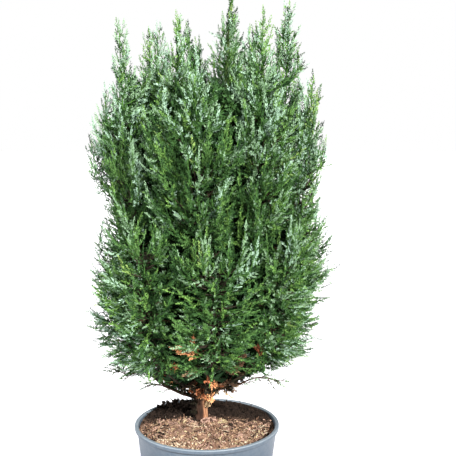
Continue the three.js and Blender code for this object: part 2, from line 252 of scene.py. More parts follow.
def curve_through(points, steps):
    """A smooth curve through points, without loops where they lie close."""
    through = np.vstack([2 * points[0] - points[1], points, 2 * points[-1] - points[-2]])
    t = np.linspace(0, 1, steps, endpoint=False)[:, None]
    found = []
    for p0, p1, p2, p3 in zip(through, through[1:], through[2:], through[3:]):
        before, here, after = (np.linalg.norm(b - a) ** 0.5 for a, b in ((p0, p1), (p1, p2), (p2, p3)))
        leaving = ((p1 - p0) / before - (p2 - p0) / (before + here) + (p2 - p1) / here) * here
        ending = ((p2 - p1) / here - (p3 - p1) / (here + after) + (p3 - p2) / after) * here
        cubic = 2 * p1 - 2 * p2 + leaving + ending
        squared = -3 * p1 + 3 * p2 - 2 * leaving - ending
        found.append(cubic * t**3 + squared * t**2 + leaving * t + p1)
    found.append(through[-2][None])
    return Line(np.vstack(found), 0)


FOOT = [(*TRUNK_FOOT, TRUNK_FOOT_HEIGHT - TRUNK_SUNK), (*TRUNK_FOOT, TRUNK_FOOT_HEIGHT)]
TRUNK_LINE = curve_through(np.array(FOOT + TRUNK_POINTS, float) * MM, 60)


def trunk_share_at(height):
    return np.interp(height, TRUNK_LINE.points[:, 2], TRUNK_LINE.marks) / TRUNK_LINE.length


def bough_line(row, bends):
    heading, reach, top, fork = row
    turn = math.radians(heading)
    start = TRUNK_LINE.at(trunk_share_at(fork * MM))
    tip = np.array(
        [CROWN_CENTRE[0] + reach * math.cos(turn), CROWN_CENTRE[1] + reach * math.sin(turn), top]
    )
    tip = tip * MM
    way = np.array([tip[0] - start[0], tip[1] - start[1], 0])
    rise = np.array([0, 0, (top - fork) * MM])
    leaving, ending = (start + way * out + rise * up for out, up in bends)
    t = np.linspace(0, 1, 301)[:, None]
    points = (
        start * (1 - t) ** 3
        + 3 * leaving * t * (1 - t) ** 2
        + 3 * ending * t**2 * (1 - t)
        + tip * t**3
    )
    return Line(points, math.atan2(way[1], way[0]))


class Mass:
    """A mass of foliage: the line that it grows round, from the tip of its bough on."""

    def __init__(self, name, shape, thick, line, start, leader=False):
        self.name, self.shape, self.thick, self.line, self.start = name, shape, thick, line, start
        self.leader = leader
        self.path = line.at(np.linspace(start, 1, LINE_STEPS + 1))
        if leader:
            self.path = np.vstack([self.path, line.at(1) + line.along(1) * LEADER_OVER * MM])
        steps = np.linalg.norm(np.diff(self.path, axis=0), axis=1)
        self.marks = np.concatenate([[0], np.cumsum(steps)])
        self.run = self.marks[-1]

    def place(self, distance):
        """Points on the line at distances along it, with the line's frame there."""
        k = np.clip(np.searchsorted(self.marks, distance), 1, len(self.marks) - 1)
        t = (distance - self.marks[k - 1]) / (self.marks[k] - self.marks[k - 1])
        point = mix(self.path[k - 1], self.path[k], t[..., None])
        share = np.clip((k - 1 + t) / LINE_STEPS, 0, 1)
        return point, *self.line.frame(mix(self.start, 1, share))

    def spread(self, distance):
        """How wide the mass may be at distances along its line: the solids' rule, drawn in to a spire."""
        opening = mix(OPENING_START, 1, smooth(distance / (OPENING_RUN * MM)))
        left = np.maximum(0, self.run - distance)
        taper = (left / (self.shape["taper_run"] * MM)) ** self.shape["taper_power"]
        wide = self.shape["radius"] * MM * opening * np.minimum(1, taper)
        spire = self.shape["spire_width"] * (left / 0.08) ** self.shape["spire_power"]
        return np.minimum(VALLEY_FILL * wide, spire)


def all_masses():
    found = []
    for table, shape, thick in (
        (OUTER_BOUGHS, FLAME, OUTER_THICK),
        (INNER_BOUGHS, FLAME, INNER_THICK),
        (LOW_BOUGHS, LOW, LOW_THICK),
    ):
        for name, row in table.items():
            found.append(Mass(name, shape, thick, bough_line(row, shape["bends"]), shape["enters"]))
    found.append(Mass("leader", FLAME, 0, TRUNK_LINE, LEADER_FROM, leader=True))
    return found


MASSES = all_masses()
CENTRE_LINE = np.array([*CROWN_CENTRE, 0]) * MM


def away_from_centre(points):
    return np.hypot(points[..., 0] - CROWN_CENTRE[0] * MM, points[..., 1] - CROWN_CENTRE[1] * MM)


def depth_from_side(points):
    """How far inside the crown's surface points lie. The surface is a little uneven."""
    turn, height = np.arctan2(points[..., 1], points[..., 0]), points[..., 2]
    left, right = (np.interp(height / MM, SURFACE_HEIGHTS, radii) for radii in (LEFT_RADII, RIGHT_RADII))
    broad = np.sin(5 * turn + 21 * height) + np.sin(8 * turn - 34 * height + 1.3)
    fine = np.sin(11 * turn + 170 * height + 1.6 * np.sin(3 * turn))
    radius = mix(left, right, 0.5 + 0.5 * np.cos(turn)) + 2 * broad + 4 * fine
    return radius * MM - away_from_centre(points)


def underside(points):
    """Height of the crown's underside. It is higher in front and on the sunny side, and lower behind."""
    away = away_from_centre(points)
    least = np.maximum(away, 0.02)
    sunny = (points[..., 0] * SUNNY_SIDE[0] + points[..., 1] * SUNNY_SIDE[1]) / least
    forward = -points[..., 1] / least
    out = np.maximum(0, away - CROWN_FLOOR_FROM * MM)
    beside, before, behind = (one[0] * MM + one[1] * out for one in (CROWN_FLOOR, FRONT_FLOOR, BACK_FLOOR))
    low = mix(beside, before, smooth((forward - 0.3) / 0.5))
    low = mix(low, behind, smooth((-forward - 0.1) / 0.6))
    return low + SUNNY_LIFT * MM * smooth((sunny + 0.1) / 0.6)


def clumping(points):
    """From 0 in the hollows between sprays to 1 on the clumps, in a pattern of about 20 mm."""
    x, y, z = (points[..., k] for k in range(3))
    wave = np.sin(300 * x + 2.1 * np.sin(110 * z)) + np.sin(280 * y + 130 * z + 1.9 * np.sin(120 * x))
    wave = wave + np.sin(260 * z + 2.3 * np.sin(140 * x - 90 * y) + 0.7)
    return smooth(0.5 + wave / 3.2)


def depth_in_crown(points):
    """How far inside the crown points lie, from the side or from the top."""
    return np.minimum(depth_from_side(points), np.maximum(0, SPIRES_FROM * MM - points[..., 2]))


class Space:
    """The crown's space, shared out between the masses: each point belongs to the nearest line."""

    def __init__(self, masses):
        self.masses = masses
        self.starts = np.vstack([m.path[:-1] for m in masses])
        self.ways = np.vstack([np.diff(m.path, axis=0) for m in masses])
        self.sizes = np.sum(self.ways**2, axis=1)
        self.marks = np.concatenate([m.marks[:-1] for m in masses])
        counts = [len(m.path) - 1 for m in masses]
        self.firsts = np.concatenate([[0], np.cumsum(counts)[:-1]])
        self.owner_of = np.repeat(np.arange(len(masses)), counts)
        self.base = np.sum(self.starts * self.ways, axis=1)
        self.squares = np.sum(self.starts**2, axis=1)

    def off_steps(self, points):
        """Squared distances of points from every step of the lines, and how far along the steps they are."""
        reached = points @ self.ways.T - self.base
        t = np.clip(reached / self.sizes, 0, 1)
        square = np.sum(points**2, axis=1)[:, None] - 2 * points @ self.starts.T + self.squares
        return square - 2 * t * reached + t * t * self.sizes, t

    def nearest(self, points):
        """The mass that each point belongs to."""
        off, _ = self.off_steps(points)
        return self.owner_of[off.argmin(axis=1)]

    def measure(self, points, owner):
        """For each point: how far its own line is, how far along that is, and how far the next line is."""
        off_own, along, off_other = (np.empty(len(points)) for _ in range(3))
        for low in range(0, len(points), CHUNK):
            part = slice(low, low + CHUNK)
            p, mine = points[part], owner[part]
            off, t = self.off_steps(p)
            by_mass = np.minimum.reduceat(off, self.firsts, axis=1)
            rows = np.arange(len(p))
            off_own[part] = by_mass[rows, mine]
            by_mass[rows, mine] = np.inf
            off_other[part] = by_mass.min(axis=1)
            off[self.owner_of[None, :] != mine[:, None]] = np.inf
            best = off.argmin(axis=1)
            along[part] = self.marks[best] + t[rows, best] * np.sqrt(self.sizes[best])
        return np.sqrt(np.maximum(off_own, 0)), along, np.sqrt(np.maximum(off_other, 0))

    def inside(self, points, owner, margin, proud=0.0):
        """Whether points lie in their mass's own space, by the solids' rule, or proud of it by a little."""
        good = (points[:, 2] > underside(points)) & (depth_from_side(points) > -proud)
        off, along, other = self.measure(points, owner)
        wide = np.empty(len(points))
        for k, one in enumerate(self.masses):
            wide[owner == k] = one.spread(along[owner == k])
        merged = BODY_SPREAD * MM * (1 - smooth((points[:, 2] - BODY_TOP * MM) / 0.055))
        return good & (off <= wide + proud + merged * (proud > 0)) & (other > off + 2 * margin)

    def room(self, starts, ways, owner, margin):
        """How far straight ways from points stay in their mass's space."""
        steps = np.arange(2, 74, 2) * MM
        points = starts[:, None] + ways[:, None] * steps[None, :, None]
        good = self.inside(points.reshape(-1, 3), np.repeat(owner, len(steps)), margin)
        good = good.reshape(len(starts), len(steps))
        gone = np.where(good.all(axis=1), len(steps), good.argmin(axis=1))
        return gone * 2 * MM


# Stems: many curved stems of one kind, held as arrays
class Stems:
    """Paths of n stems by k points, the way that each is flat to, its length, mass and tint."""

    def __init__(self, paths, flat, owner, tint):
        self.paths, self.flat, self.owner, self.tint = paths, flat, owner, tint
        self.lengths = np.linalg.norm(np.diff(paths, axis=1), axis=2).sum(axis=1)

    def __len__(self):
        return len(self.paths)

    def keep(self, mask):
        return Stems(self.paths[mask], self.flat[mask], self.owner[mask], self.tint[mask])

    def at(self, index, share):
        """Points and ways on chosen stems at shares of their length."""
        last = self.paths.shape[1] - 1
        spot = np.clip(share, 0, 0.9999) * last
        k = spot.astype(int)
        a, b = self.paths[index, k], self.paths[index, k + 1]
        return mix(a, b, (spot - k)[:, None]), unit(b - a)


def bowed(start, way, length, toward, bend, count):
    """Paths that leave along a way and bend toward another as they go."""
    s = np.linspace(0, 1, count)[None, :, None]
    bend = np.asarray(bend)[:, None, None]
    turn = (toward - way)[:, None]
    return start[:, None] + length[:, None, None] * (s * way[:, None] + bend * s * s * turn)


def spots_along(stems, first, gap, end, rng):
    """Places along stems, from first on and a gap apart, up to end short of the tip: stem index, distance
    and a side that changes from one to the next."""
    count = int(np.ceil(stems.lengths.max() / np.min(gap))) + 1
    turn = np.arange(count)[None, :]
    wander = rng.uniform(-0.3, 0.3, (len(stems), count))
    gone = np.broadcast_to(first, (len(stems),))[:, None] + gap * (turn + wander)
    good = gone < (stems.lengths - end)[:, None]
    index, turn = np.nonzero(good)
    return index, np.maximum(gone[index, turn], 0), np.where(turn % 2, 1.0, -1.0)


def side_stems(stems, spots, angle, roll, length, bend, count, rng):
    """New stems at spots on older ones, in the older stem's flat but for a roll."""
    index, gone, side = spots
    start, along = stems.at(index, gone / stems.lengths[index])
    normal = square_to(along, stems.flat[index])
    beside = turned(np.cross(normal, along) * side[:, None], along, roll)
    way = unit(along * np.cos(angle)[:, None] + beside * np.sin(angle)[:, None])
    paths = bowed(start, way, length, along, bend, count)
    flat = square_to(way, normal + 0.35 * rng.normal(size=normal.shape))
    return Stems(paths, flat, stems.owner[index], stems.tint[index])


def fitted(space, stems_at, lengths, margin, proud):
    """Makes stems shorter until their tips lie in their mass's space, and leaves out those that never do."""
    made = stems_at(lengths)
    good = space.inside(made.paths[:, -1], made.owner, margin, proud)
    for _ in range(3):
        lengths = np.where(good, lengths, lengths * 0.72)
        made = stems_at(lengths)
        good = space.inside(made.paths[:, -1], made.owner, margin, proud)
    return made, good


# Meshes from arrays
def joined(parts):
    """One set of points, triangles and slots from several."""
    points, faces, slots, first = [], [], [], 0
    for p, f, s in parts:
        points.append(p)
        faces.append(f + first)
        slots.append(s)
        first += len(p)
    return np.vstack(points), np.vstack(faces), np.concatenate(slots)


def mesh_piece(name, points, faces, slots, materials, shade_smooth=True):
    """A piece from arrays of points, triangles and their material slots."""
    mesh = bpy.data.meshes.new(name)
    mesh.vertices.add(len(points))
    mesh.vertices.foreach_set("co", np.ascontiguousarray(points, np.float32).ravel())
    mesh.loops.add(3 * len(faces))
    mesh.loops.foreach_set("vertex_index", np.ascontiguousarray(faces, np.int32).ravel())
    mesh.polygons.add(len(faces))
    mesh.polygons.foreach_set("loop_start", np.arange(0, 3 * len(faces), 3, dtype=np.int32))
    mesh.polygons.foreach_set("material_index", np.ascontiguousarray(slots, np.int32))
    mesh.polygons.foreach_set("use_smooth", np.full(len(faces), shade_smooth))
    mesh.update(calc_edges=True)
    for material in materials:
        mesh.materials.append(material)
    made = bpy.data.objects.new(name, mesh)
    bpy.context.scene.collection.objects.link(made)
    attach(made, "root")
    return made


def tubes(paths, radii, sides, slots):
    """Closed tubes along paths, as points, triangles and slots. Slots are given by path and step."""
    n, rings, _ = paths.shape
    along = unit(np.gradient(paths, axis=1))
    hint = np.broadcast_to(np.array([0.31, 0.87, 0.12]), along.shape)
    across = square_to(along, hint)
    other = np.cross(along, across)
    angles = 2 * np.pi * np.arange(sides) / sides
    circle = across[:, :, None] * np.cos(angles)[:, None] + other[:, :, None] * np.sin(angles)[:, None]
    points = paths[:, :, None] + circle * radii[:, :, None, None]
    corner = np.arange(sides)
    beside = (corner + 1) % sides
    quads = []
    for ring in range(rings - 1):
        low, high = ring * sides, (ring + 1) * sides
        quads.append(np.stack([low + corner, low + beside, high + beside], axis=1))
        quads.append(np.stack([low + corner, high + beside, high + corner], axis=1))
    last = (rings - 1) * sides
    fan = np.arange(1, sides - 1)
    quads.append(np.stack([0 * fan, fan + 1, fan], axis=1))
    quads.append(np.stack([last + 0 * fan, last + fan, last + fan + 1], axis=1))
    one = np.vstack(quads)
    faces = (one[None] + (np.arange(n) * rings * sides)[:, None, None]).reshape(-1, 3)
    by_ring = np.repeat(np.broadcast_to(slots, (n, rings - 1)), 2 * sides, axis=1)
    ends = np.repeat(by_ring[:, [0, -1]], sides - 2, axis=1)
    return points.reshape(-1, 3), faces, np.concatenate([by_ring, ends], axis=1).ravel()


def tapered(paths, thick, thin, sides, slots):
    """Tubes along paths, from one radius in millimetres to another."""
    radii = np.linspace(thick, thin, paths.shape[1])[None] * MM * np.ones((len(paths), 1))
    return tubes(paths, radii, sides, slots)


def needles(start, way, length, half_width, roll, slots):
    """Kite-shaped needles, folded along the middle: two triangles each."""
    hint = np.where(np.abs(way[:, 2:3]) < 0.9, [[0, 0, 1.0]], [[1.0, 0, 0]])
    across = square_to(way, hint)
    across = turned(across, way, roll)
    normal = np.cross(way, across)
    widest = start + way * (0.42 * length)[:, None] + normal * (0.6 * half_width)[:, None]
    edge = across * (0.8 * half_width)[:, None]
    tip = start + way * length[:, None]
    points = np.stack([start, widest + edge, tip, widest - edge], axis=1)
    one = np.array([[0, 1, 2], [0, 2, 3]])
    faces = (one[None] + (4 * np.arange(len(start)))[:, None, None]).reshape(-1, 3)
    return points.reshape(-1, 3), faces, np.repeat(slots, 2)


def branchlets(start, way, toward, length, coarse, slots, sizes, rng):
    """Branchlets: needles in crossed pairs along a short bowed axis, and one at its tip, all
    coarser by a factor."""
    pair_count = np.round(length / (sizes.pair_gap * coarse))
    pair_count = np.clip(pair_count, 2, 9).astype(int)
    spin = rng.uniform(0, 2 * np.pi, len(start))
    bend = rng.uniform(0.05, 0.35, len(start))
    parts = []
    for pairs in np.unique(pair_count):
        pick = np.nonzero(pair_count == pairs)[0]
        s = (np.arange(pairs + 1) + 0.15) / (pairs + 0.15)
        s = s[None, :, None]
        turn = (toward[pick] - way[pick])[:, None] * bend[pick][:, None, None]
        size = length[pick][:, None, None] * 0.82
        at = start[pick][:, None] + size * (s * way[pick][:, None] + s * s * turn)
        axis = unit(way[pick][:, None] + 2 * s * turn)
        hint = np.broadcast_to([[[0.3, 0.2, 0.93]]], axis.shape)
        first = square_to(axis, hint)
        for k in range(pairs):
            angle = spin[pick] + k * np.pi / 2 + rng.normal(0, 0.2, len(pick))
            radial = turned(first[:, k], axis[:, k], angle)
            for side in (1, -1):
                lean = rng.uniform(0.42, 0.8, len(pick)) - 0.15 * k / pairs
                aim = axis[:, k] * np.cos(lean)[:, None] + side * radial * np.sin(lean)[:, None]
                long = sizes.needle_length * rng.uniform(0.75, 1.15, len(pick)) * (1.08 - 0.3 * k / pairs)
                long = long * mix(1, coarse[pick], 0.7)
                wide = sizes.needle_width / 2 * rng.uniform(0.8, 1.15, len(pick)) * coarse[pick]
                roll = rng.uniform(0, np.pi, len(pick))
                parts.append(needles(at[:, k], aim, long, wide, roll, slots[pick]))
        long = np.full(len(pick), sizes.needle_length * 0.85)
        wide = np.full(len(pick), sizes.needle_width / 2)
        roll = rng.uniform(0, np.pi, len(pick))
        parts.append(needles(at[:, pairs], axis[:, pairs], long, wide, roll, slots[pick]))
    return joined(parts)


# Materials
class Value:
    """A number or colour that varies over a surface. Arithmetic on numbers adds Math nodes."""

    def __init__(self, finish, socket):
        self.finish = finish
        self.socket = socket

    def math(self, operation, first, second):
        return self.finish.node("ShaderNodeMath", {"operation": operation}, {0: first, 1: second})

    def __add__(self, other):
        return self.math("ADD", self, other)

    __radd__ = __add__

    def __sub__(self, other):
        return self.math("SUBTRACT", self, other)

    def __rsub__(self, other):
        return self.math("SUBTRACT", other, self)

    def __mul__(self, other):
        return self.math("MULTIPLY", self, other)

    __rmul__ = __mul__

    def held(self):
        """The number kept between 0 and 1."""
        settings = {"operation": "ADD", "use_clamp": True}
        return self.finish.node("ShaderNodeMath", settings, {0: self, 1: 0.0})


def linear(colour):
    """A linear colour from one as the eye sees it, each part from 0 to 255."""
    parts = [c / 255 for c in colour]
    return [c / 12.92 if c < 0.04045 else ((c + 0.055) / 1.055) ** 2.4 for c in parts] + [1.0]


class Finish:
    """A material, built from its own nodes."""

    def __init__(self, name, colour=(128, 128, 128), roughness=0.6, **fixed):
        self.material = bpy.data.materials.new(name)
        self.material.use_nodes = True
        self.tree = self.material.node_tree
        self.shader = self.tree.nodes["Principled BSDF"]
        self.material.diffuse_color = linear(colour)
        self.surface(Base_Color=linear(colour), Roughness=roughness, **fixed)

    def node(self, kind, settings=None, inputs=None, output=0):
        """Any node: its settings first, then the values or links of its sockets."""
        made = self.tree.nodes.new(kind)
        for key, value in (settings or {}).items():
            if key == "stops":
                self.set_stops(made.color_ramp, value)
            else:
                setattr(made, key, value)
        for key, value in (inputs or {}).items():
            self.feed(made.inputs[key], value)
        return Value(self, made.outputs[output])

    def feed(self, socket, value):
        if isinstance(value, Value):
            self.tree.links.new(value.socket, socket)
        else:
            socket.default_value = value

    def set_stops(self, ramp, stops):
        while len(ramp.elements) < len(stops):
            ramp.elements.new(0.5)
        for element, (place, colour) in zip(ramp.elements, stops):
            element.position = place
            element.color = linear(colour)

    def surface(self, **sockets):
        for key, value in sockets.items():
            self.feed(self.shader.inputs[key.replace("_", " ")], value)

    def place(self, stretch=(1, 1, 1)):
        """Object coordinates in metres, with a pattern's stretch along each."""
        where = self.node("ShaderNodeTexCoord", output="Object")
        return self.node("ShaderNodeMapping", None, {"Vector": where, "Scale": stretch})

    def height(self, axis=2):
        """How far up a place is, or along another axis, in metres."""
        where = self.node("ShaderNodeTexCoord", output="Object")
        return self.node("ShaderNodeSeparateXYZ", None, {0: where}, axis)

    def speckle(self, scale, detail=3.0, stretch=(1, 1, 1), rough=0.5):
        inputs = {"Vector": self.place(stretch), "Scale": scale, "Detail": detail, "Roughness": rough}
        return self.node("ShaderNodeTexNoise", None, inputs)

    def ramp(self, value, stops):
        return self.node("ShaderNodeValToRGB", {"stops": stops}, {0: value})

    def between(self, value, low, high):
        """0 up to low, 1 from high on, and smooth in between."""
        inputs = {"Value": value, "From Min": low, "From Max": high}
        return self.node("ShaderNodeMapRange", {"interpolation_type": "SMOOTHSTEP"}, inputs)

    def blend(self, share, first, second):
        """From a first colour to a second by a share."""
        settings = {"data_type": "RGBA"}
        return self.node("ShaderNodeMix", settings, {0: share, 6: first, 7: second}, 2)

    def bump(self, height, depth):
        """Relief from a height, its depth in metres."""
        inputs = {"Height": height, "Distance": depth, "Strength": 1.0}
        self.surface(Normal=self.node("ShaderNodeBump", None, inputs))


def pot_plastic(colours):
    finish = Finish("pot_plastic", colours.pot, 0.42, Specular_IOR_Level=0.45)
    cloud = finish.speckle(14, 4)
    turning = finish.speckle(60, 3, (1, 1, 14))
    scratch = finish.between(finish.speckle(70, 2, (1, 1, 0.12), 0.7), 0.66, 0.74)
    dust = finish.between(finish.height() + 0.02 * cloud, 0.105, 0.15) * finish.speckle(240, 3)
    stops = [(0.25, [c * 0.88 for c in colours.pot]), (0.75, [c * 1.1 for c in colours.pot])]
    base = finish.ramp(cloud * 0.6 + turning * 0.4, stops)
    dusty = finish.blend((dust * 0.25).held(), base, linear((150, 152, 150)))
    marked = finish.blend(scratch * 0.12, dusty, linear((172, 186, 196)))
    # Painted light: a pale band along the top of the lip stands for its highlight, and a dark band just
    # under the lip for the shade it casts on the wall.
    edge = finish.between(finish.height(), 0.1346, 0.1356)
    above = finish.between(finish.height(), 0.1312, 0.132)
    painted_shade_under_lip = finish.between(finish.height(), 0.1288, 0.1302) * (1 - above)
    painted_lip_light_and_shade = finish.blend((edge * 0.3).held(), marked, linear((166, 178, 186)))
    painted_lip_light_and_shade = finish.blend((painted_shade_under_lip * 0.6).held(), painted_lip_light_and_shade, linear((30, 42, 52)))
    finish.surface(Base_Color=painted_lip_light_and_shade, Roughness=0.36 + 0.2 * cloud + 0.25 * scratch)
    finish.bump(turning * 0.5 + finish.speckle(900, 2) * 0.5, 0.00012)
    return finish.material


YOUNG_BARK = (66, 84, 46)


def bark(name, dark, warm, pale):
    finish = Finish(name, warm, 0.9, Specular_IOR_Level=0.2)
    fibres = finish.speckle(420, 4, (1, 1, 0.09), 0.65)
    strips = finish.speckle(130, 3, (1, 1, 0.14), 0.6)
    patches = finish.speckle(45, 2)
    tone = strips * 0.55 + fibres * 0.45
    base = finish.ramp(tone, [(0.36, dark), (0.46, warm), (0.56, pale), (0.66, warm)])
    worn = finish.blend(finish.between(patches, 0.5, 0.68), base, linear(warm))
    # Painted shade: the bark darkens above the foot, inside the crown, and on the trunk's left side, away
    # from the sun.
    inside = finish.between(finish.height(), 0.158, 0.178)
    painted_shade_left_side = finish.between(finish.height(0) + 0.006 * strips, 0.0, -0.0032)
    shaded = finish.blend((inside * 0.97 + painted_shade_left_side * 0.85).held(), worn, linear([0.5 * c for c in dark]))
    young = finish.between(finish.height(), 0.42, 0.52)
    shaded = finish.blend(young * 0.9, shaded, linear(YOUNG_BARK))
    finish.surface(Base_Color=shaded)
    finish.surface(Roughness=0.75 + 0.2 * fibres)
    finish.bump(tone, 0.0011)
    return finish.material


def twig_bark(name, first, second):
    finish = Finish(name, first, 0.8, Specular_IOR_Level=0.25)
    finish.surface(Base_Color=finish.blend(finish.speckle(300, 2), linear(first), linear(second)))
    return finish.material


def leaf_finish(name, colours):
    """A plain leaf colour, made once."""
    found = bpy.data.materials.get(name)
    return found or Finish(name, getattr(colours, name), 0.68, Specular_IOR_Level=0.2).material


def compost():
    finish = Finish("compost", (96, 72, 58), 0.95, Specular_IOR_Level=0.15)
    coarse = finish.speckle(260, 5, rough=0.7)
    fine = finish.speckle(1400, 3, rough=0.6)
    stops = [(0.3, (52, 38, 30)), (0.45, (100, 76, 62)), (0.58, (142, 116, 98)), (0.72, (184, 162, 144))]
    broad = finish.speckle(60, 2)
    mixed = finish.ramp(coarse * 0.42 + fine * 0.2 + broad * 0.38, stops)
    # Painted shade: the compost darkens toward the back, behind the trunk, where the crown's shadow falls.
    behind = finish.between(finish.height(1), 0.004, 0.026)
    finish.surface(Base_Color=finish.blend(behind * 0.93, mixed, linear((20, 15, 12))))
    finish.bump(coarse * 0.7 + fine * 0.3, 0.0016)
    return finish.material


def litter_finish(name, dark, light):
    finish = Finish(name, light, 0.9, Specular_IOR_Level=0.2)
    grain = finish.speckle(700, 4, (1, 0.5, 1), 0.65)
    finish.surface(Base_Color=finish.ramp(grain, [(0.34, dark), (0.62, light)]))
    finish.bump(grain, 0.0004)
    return finish.material


# What a user may change
def length_property(name, description, default):
    return bpy.props.FloatProperty(
        name=name, description=description, default=default, min=0, unit="LENGTH", precision=4
    )


def count_property(name, description, default):
    return bpy.props.IntProperty(name=name, description=description, default=default)


def number_property(name, description, default):
    return bpy.props.FloatProperty(name=name, description=description, default=default)


def colour_property(name, description, default):
    return bpy.props.FloatVectorProperty(
        name=name, description=description, default=default, size=3, min=0, max=255
    )


class PotSizes(bpy.types.PropertyGroup):
    height: length_property("Height", "Height of the pot", POT_HIGH[2])
    top_radius: length_property("Top radius", "Radius over the lip", POT_HIGH[0])
    foot_radius: length_property("Foot radius", "Radius at the foot", 0.061)
    wall: length_property("Wall", "Thickness of the wall", 0.002)
    floor: length_property("Floor", "Thickness of the floor", 0.003)
    lip_drop: length_property("Lip drop", "Height of the lip", 0.005)
    lip_step: length_property("Lip step", "How far the lip stands out", 0.0025)


class SoilSizes(bpy.types.PropertyGroup):
    edge: length_property("Edge", "Height of the compost at the wall", 0.129)
    peak: length_property("Peak", "Height of the compost at the trunk", 0.137)
    lumps: length_property("Lumps", "Height of the compost's lumps", 0.0022)
    back_rise: length_property("Back rise", "How much higher the compost lies at the back", 0.0062)
    chips: count_property("Chips", "Number of bark chips", 620)
    crumbs: count_property("Crumbs", "Number of crumbs", 2600)
    fibres: count_property("Fibres", "Number of fibres", 420)
    dry_sprigs: count_property("Dry sprigs", "Number of fallen sprigs", 260)
    heaped_sprigs: count_property("Heap", "Number of sprigs heaped behind", 150)


class FoliageSizes(bpy.types.PropertyGroup):
    shoot_gap: length_property("Shoot gap", "Run of a mass's line for each shoot", 0.0021)
    side_shoots: count_property("Side shoots", "Number of shoots strewn over the crown's side", 1700)
    fringe_share: number_property(
        "Fringe share", "Share of the side shoots that stand out of the crown", 0.15
    )
    gap_tries: count_property("Gap tries", "Number of places on the crown's side looked at for gaps", 4000)
    gap_width: length_property("Gap width", "Least distance to a feather that counts as a gap", 0.0095)
    inner_share: number_property("Inner share", "Share of the shoots that grow on the inner side too", 0.4)
    feather_gap: length_property("Feather gap", "Gap between a shoot's feathers", 0.0066)
    bough_sprigs: count_property("Bough sprigs", "Number of dim sprigs on each bough inside the crown", 340)
    branchlet_gap: length_property("Branchlet gap", "Gap between a feather's branchlets", 0.0041)
    pair_gap: length_property("Pair gap", "Gap between pairs of needles", 0.002)
    needle_length: length_property("Needle length", "Length of a needle", 0.0028)
    needle_width: length_property("Needle width", "Width of a needle", 0.0016)


class Colours(bpy.types.PropertyGroup):
    pot: colour_property("Pot", "Colour of the pot", (41, 59, 75))
    bark_dark: colour_property("Bark, dark", "Colour in the bark's furrows", (48, 30, 22))
    bark_warm: colour_property("Bark, warm", "Main colour of the bark", (124, 84, 60))
    bark_pale: colour_property("Bark, pale", "Colour of the bark's lifted fibres", (186, 146, 112))
    glaucous: colour_property("Glaucous", "Bluish bloom of the outer sprays", (146, 176, 152))
    grey_green: colour_property("Grey green", "Duller outer sprays", (122, 152, 118))
    mid_green: colour_property("Mid green", "Plain green sprays", (82, 118, 62))
    fresh_green: colour_property("Fresh green", "Young sprays", (102, 140, 68))
    yellow_green: colour_property("Yellow green", "Yellowish tips", (124, 152, 82))
    # Deep and shade green also serve as painted shade deep inside the crown.
    deep_green: colour_property("Deep green", "Older sprays", (54, 88, 44))
    shade_green: colour_property("Shade green", "Sprays inside the crown", (18, 48, 16))
    dry_brown: colour_property("Dry brown", "Dry sprays inside the crown", (50, 40, 22))
    dead_orange: colour_property("Dead, orange", "Brightest dead sprays at the base", (218, 160, 112))
    dead_rust: colour_property("Dead, rust", "Rusty dead sprays", (168, 104, 70))
    dead_brown: colour_property("Dead, brown", "Brown dead sprays", (98, 72, 52))
    dead_tan: colour_property("Dead, tan", "Bleached dead sprays", (186, 160, 124))
    # The near-black dead sprays also serve as painted shade at the crown's foot.
    dead_dark: colour_property("Dead, dark", "Oldest dead sprays", (30, 28, 16))


class StageLight(bpy.types.PropertyGroup):
    sun: number_property("Sun", "Strength of the sun lamp", 9.6)
    left_fill: number_property("Left fill", "Strength of the soft fill", 4.6)
    sky: number_property("Sky", "Strength of the pale surround", 0.2)


class CypressSettings(bpy.types.PropertyGroup):
    pot: bpy.props.PointerProperty(type=PotSizes)
    soil: bpy.props.PointerProperty(type=SoilSizes)
    foliage: bpy.props.PointerProperty(type=FoliageSizes)
    colours: bpy.props.PointerProperty(type=Colours)
    light: bpy.props.PointerProperty(type=StageLight)


# Pot
def object_from(bm, name, materials):
    mesh = bpy.data.meshes.new(name)
    bm.to_mesh(mesh)
    bm.free()
    for material in materials:
        mesh.materials.append(material)
    made = bpy.data.objects.new(name, mesh)
    bpy.context.scene.collection.objects.link(made)
    return made


def spun(profile, steps):
    """A closed body of revolution from its profile."""
    bm = bmesh.new()
    verts = [bm.verts.new((r, 0, z)) for r, z in profile]
    edges = [bm.edges.new(pair) for pair in zip(verts, verts[1:])]
    bmesh.ops.spin(
        bm,
        geom=verts + edges,
        cent=(0, 0, 0),
        axis=(0, 0, 1),
        angle=2 * math.pi,
        steps=steps,
        use_merge=True,
        use_duplicate=False,
    )
    bmesh.ops.remove_doubles(bm, verts=bm.verts, dist=1e-6)
    bmesh.ops.recalc_face_normals(bm, faces=bm.faces)
    return bm


def rounded(bm, radius, least_angle):
    """Bevels the edges that turn by more than an angle."""
    sharp = [e for e in bm.edges if len(e.link_faces) == 2 and e.calc_face_angle() > least_angle]
    bmesh.ops.bevel(
        bm,
        geom=sharp,
        offset=radius,
        offset_type="OFFSET",
        segments=3,
        profile=0.5,
        affect="EDGES",
        clamp_overlap=True,
        material=-1,
    )


# Drain holes: how many, how far out, and their radius. The radius of the pot's edges
DRAIN_HOLES = (8, 0.046, 0.005)
EDGE_ROUND = 0.0007


